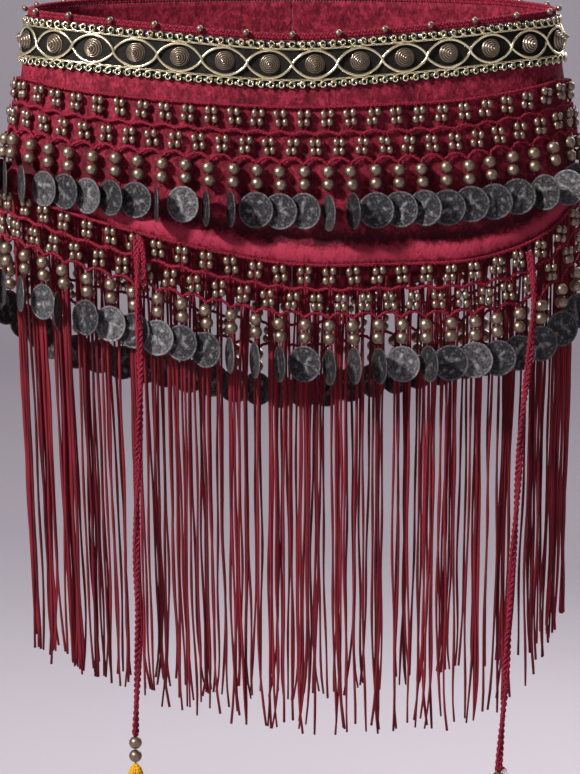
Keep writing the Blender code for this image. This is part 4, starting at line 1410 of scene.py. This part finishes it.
class BELT_OT_fringe(BeltMaker):
    """Makes the fringe strands, their knots and the strip they hang from"""
    bl_idname = "belt.fringe"
    bl_label = "Fringe"

    def make(self, sizes, colours):
        """Two strands or one hang from each knot, and each falls in a slow wave of its own."""
        knots = (np.arange(STRANDS) + 0.5) * COLUMNS / STRANDS
        rng = np.random.default_rng(FRINGE_SEED)
        kept = (np.tile((1, 0), STRANDS) + rng.uniform(0.0, 1.0, 2 * STRANDS)) > SINGLE_SHARE
        columns = (np.repeat(knots, 2) + np.tile(STRAND_PAIR, STRANDS))[kept][:, None]
        count = len(columns)
        fall = STRAND_ROOT + rng.uniform(-STRAND_UNEVEN, STRAND_UNEVEN, (count, 1))
        pull = np.repeat(rng.uniform(-STRAND_PULL, STRAND_PULL, STRANDS), 2)[kept][:, None]
        parting = rng.uniform(0.0, STRAND_PARTING, (count, 1))
        parting = parting * np.tile((-1, 1), STRANDS)[kept][:, None]
        phase = rng.uniform(0.0, TWO_PI, (4, count, 1))
        curl = rng.uniform(-STRAND_CURL, STRAND_CURL, (count, 1))
        t = np.linspace(0.0, 1.0, STRAND_STEPS)
        waves = [size * np.sin(rate * t + start) * t
                 for (size, rate), start in zip(STRAND_WAVES, phase)]
        drift, rate = BUNCH_DRIFT
        bunch = BUNCH_SWING * np.sin(BUNCH_RATE * columns + drift * np.sin(rate * columns))
        side = (bunch * (1 - np.exp(-7 * t)) + pull * 0.5 * t + parting * np.sin(np.pi * t * 0.8)
                + curl * t ** 14 + waves[0] + waves[1])
        uneven = 1 + 0.16 * np.sin(31 * t + phase[1]) - 0.15 * t ** 8
        shape = Shape()
        add_threads(shape, self.strand_paths(columns, fall, t, side, waves[2] + waves[3]),
                    sizes.strand_radius * uneven, (0.31, 0.9, 0.0),
                    tone=rng.uniform(*STRAND_TONES, count))
        shape.build("fringe_strands", "fringe_cord", "fringe_thread", "fringe")
        self.make_strip(knots)

    def strand_paths(self, columns, fall, t, side, deep):
        """Lines straight down from the strip that lean inward, moved aside and in and out."""
        angles = angle_of(columns[:, 0])
        root = panel_point(angles, cut(angles, HEM_DROP) - STRAND_ROOT, STRIP_MIDDLE)[:, None]
        out = outward(angles, 1.0)[:, None]
        along = stacked(-out[..., 1], out[..., 0])
        across = np.where(root[..., 0] < 0, LEAN_LEFT, LEAN_RIGHT)
        lean = stacked(1 - (1 - across) * t, 1 - (1 - LEAN_DEEP) * t)
        flat = root[..., :2] * lean + along * side[..., None] + out * deep[..., None]
        height = root[..., 2] - (cut(angles, FRINGE_LENGTH)[:, None] + fall) * t
        return np.concatenate((flat, height[..., None]), axis=-1)

    def make_strip(self, knots):
        """Strip behind the hem, and the knot of each pair of strands on its lower edge."""
        columns, angles = belt_columns(STRIP_STEPS)
        share = np.linspace(0.0, 1.0, STRIP_ROWS)[:, None]
        drop = cut(angles, HEM_DROP) - STRIP_HEIGHT * (1 - share)
        shape = Shape()
        shape.add_wall(columns, drop, STRIP_OUT, STRIP_OUT - STRIP_WALL)
        shape.add_on_belt(knots, cut(angle_of(knots), HEM_DROP) + KNOT_DROP, *bead_form(*KNOT),
                          (0.0, 0.0, STRIP_MIDDLE))
        shape.build("fringe_heading", "fringe_strip", "fringe_thread")


class BELT_OT_stage(BeltMaker):
    """Makes the round floor and wall, the lights and the pale surroundings"""
    bl_idname = "belt.stage"
    bl_label = "Stage"

    def make(self, sizes, colours):
        """Floor that curves up into a wall: a profile turned about the middle."""
        bend = np.linspace(0.0, np.pi / 2, BEND_STEPS)
        radius = np.concatenate((FLOOR_RINGS, BEND_START + BEND_RADIUS * np.sin(bend),
                                 (BEND_START + BEND_RADIUS,)))
        height = np.concatenate((np.zeros(len(FLOOR_RINGS)),
                                 BEND_RADIUS - BEND_RADIUS * np.cos(bend), (WALL_TOP,)))
        points = lathe(radius, height + FLOOR_HEIGHT, STAGE_SIDES)
        index = np.arange(points[..., 0].size).reshape(points.shape[:2])
        index = np.concatenate((index, index[:, :1]), axis=1)
        quads = np.stack((index[:-1, :-1], index[1:, :-1], index[1:, 1:], index[:-1, 1:]), axis=-1)
        mesh = bpy.data.meshes.new("floor_and_wall")
        mesh.from_pydata(points.reshape(-1, 3).tolist(), [],
                         quads.reshape(-1, 4).tolist() + [index[0, :-1].tolist()])
        mesh.polygons.foreach_set("use_smooth", np.ones(len(mesh.polygons), dtype=bool))
        backdrop_finish(colours.backdrop)
        mesh.materials.append(bpy.data.materials["painted_backdrop"])
        put_in_scene("floor_and_wall", mesh)
        self.make_lights()

    def make_lights(self):
        """Soft square lights from the table, and a pale world."""
        for name, place, target, size, power, colour in LIGHTS:
            lamp = bpy.data.lights.new(name, "AREA")
            lamp.size = size
            lamp.energy = power
            lamp.color = colour
            aim(put_in_scene(name, lamp), place, target)
        world = bpy.data.worlds.new("pale_world")
        world.use_nodes = True
        background = world.node_tree.nodes["Background"]
        background.inputs["Color"].default_value = WORLD_COLOUR
        background.inputs["Strength"].default_value = WORLD_STRENGTH
        bpy.context.scene.world = world
        bpy.context.scene.view_settings.view_transform = "Standard"


STEPS = (BELT_OT_camera, BELT_OT_finishes, BELT_OT_cords, BELT_OT_panel, BELT_OT_edging,
         BELT_OT_metal_trim, BELT_OT_coin_trims, BELT_OT_fringe, BELT_OT_stage)


class BELT_PT_sidebar(bpy.types.Panel):
    """Lists the belt's settings and operators"""
    bl_idname = "BELT_PT_sidebar"
    bl_label = "Fringed belly dance belt"
    bl_space_type = "VIEW_3D"
    bl_region_type = "UI"
    bl_category = "Belt"

    def draw(self, context):
        """Settings first, then one button for each operator."""
        for settings in (context.scene.belt_sizes, context.scene.belt_colours):
            for name in settings.__annotations__:
                self.layout.prop(settings, name)
        for step in STEPS:
            self.layout.operator(step.bl_idname)


CLASSES = (BeltSizes, BeltColours, *STEPS, BELT_PT_sidebar)


def register():
    """Registers the classes and puts the settings on the scene."""
    for cls in CLASSES:
        bpy.utils.register_class(cls)
    bpy.types.Scene.belt_sizes = PointerProperty(type=BeltSizes)
    bpy.types.Scene.belt_colours = PointerProperty(type=BeltColours)


def unregister():
    """Takes the settings off the scene and unregisters the classes."""
    del bpy.types.Scene.belt_sizes
    del bpy.types.Scene.belt_colours
    for cls in reversed(CLASSES):
        bpy.utils.unregister_class(cls)


def main():
    """Makes every piece in order."""
    register()
    for step in STEPS:
        group, name = step.bl_idname.split(".")
        getattr(getattr(bpy.ops, group), name)()


if __name__ == "__main__":
    main()
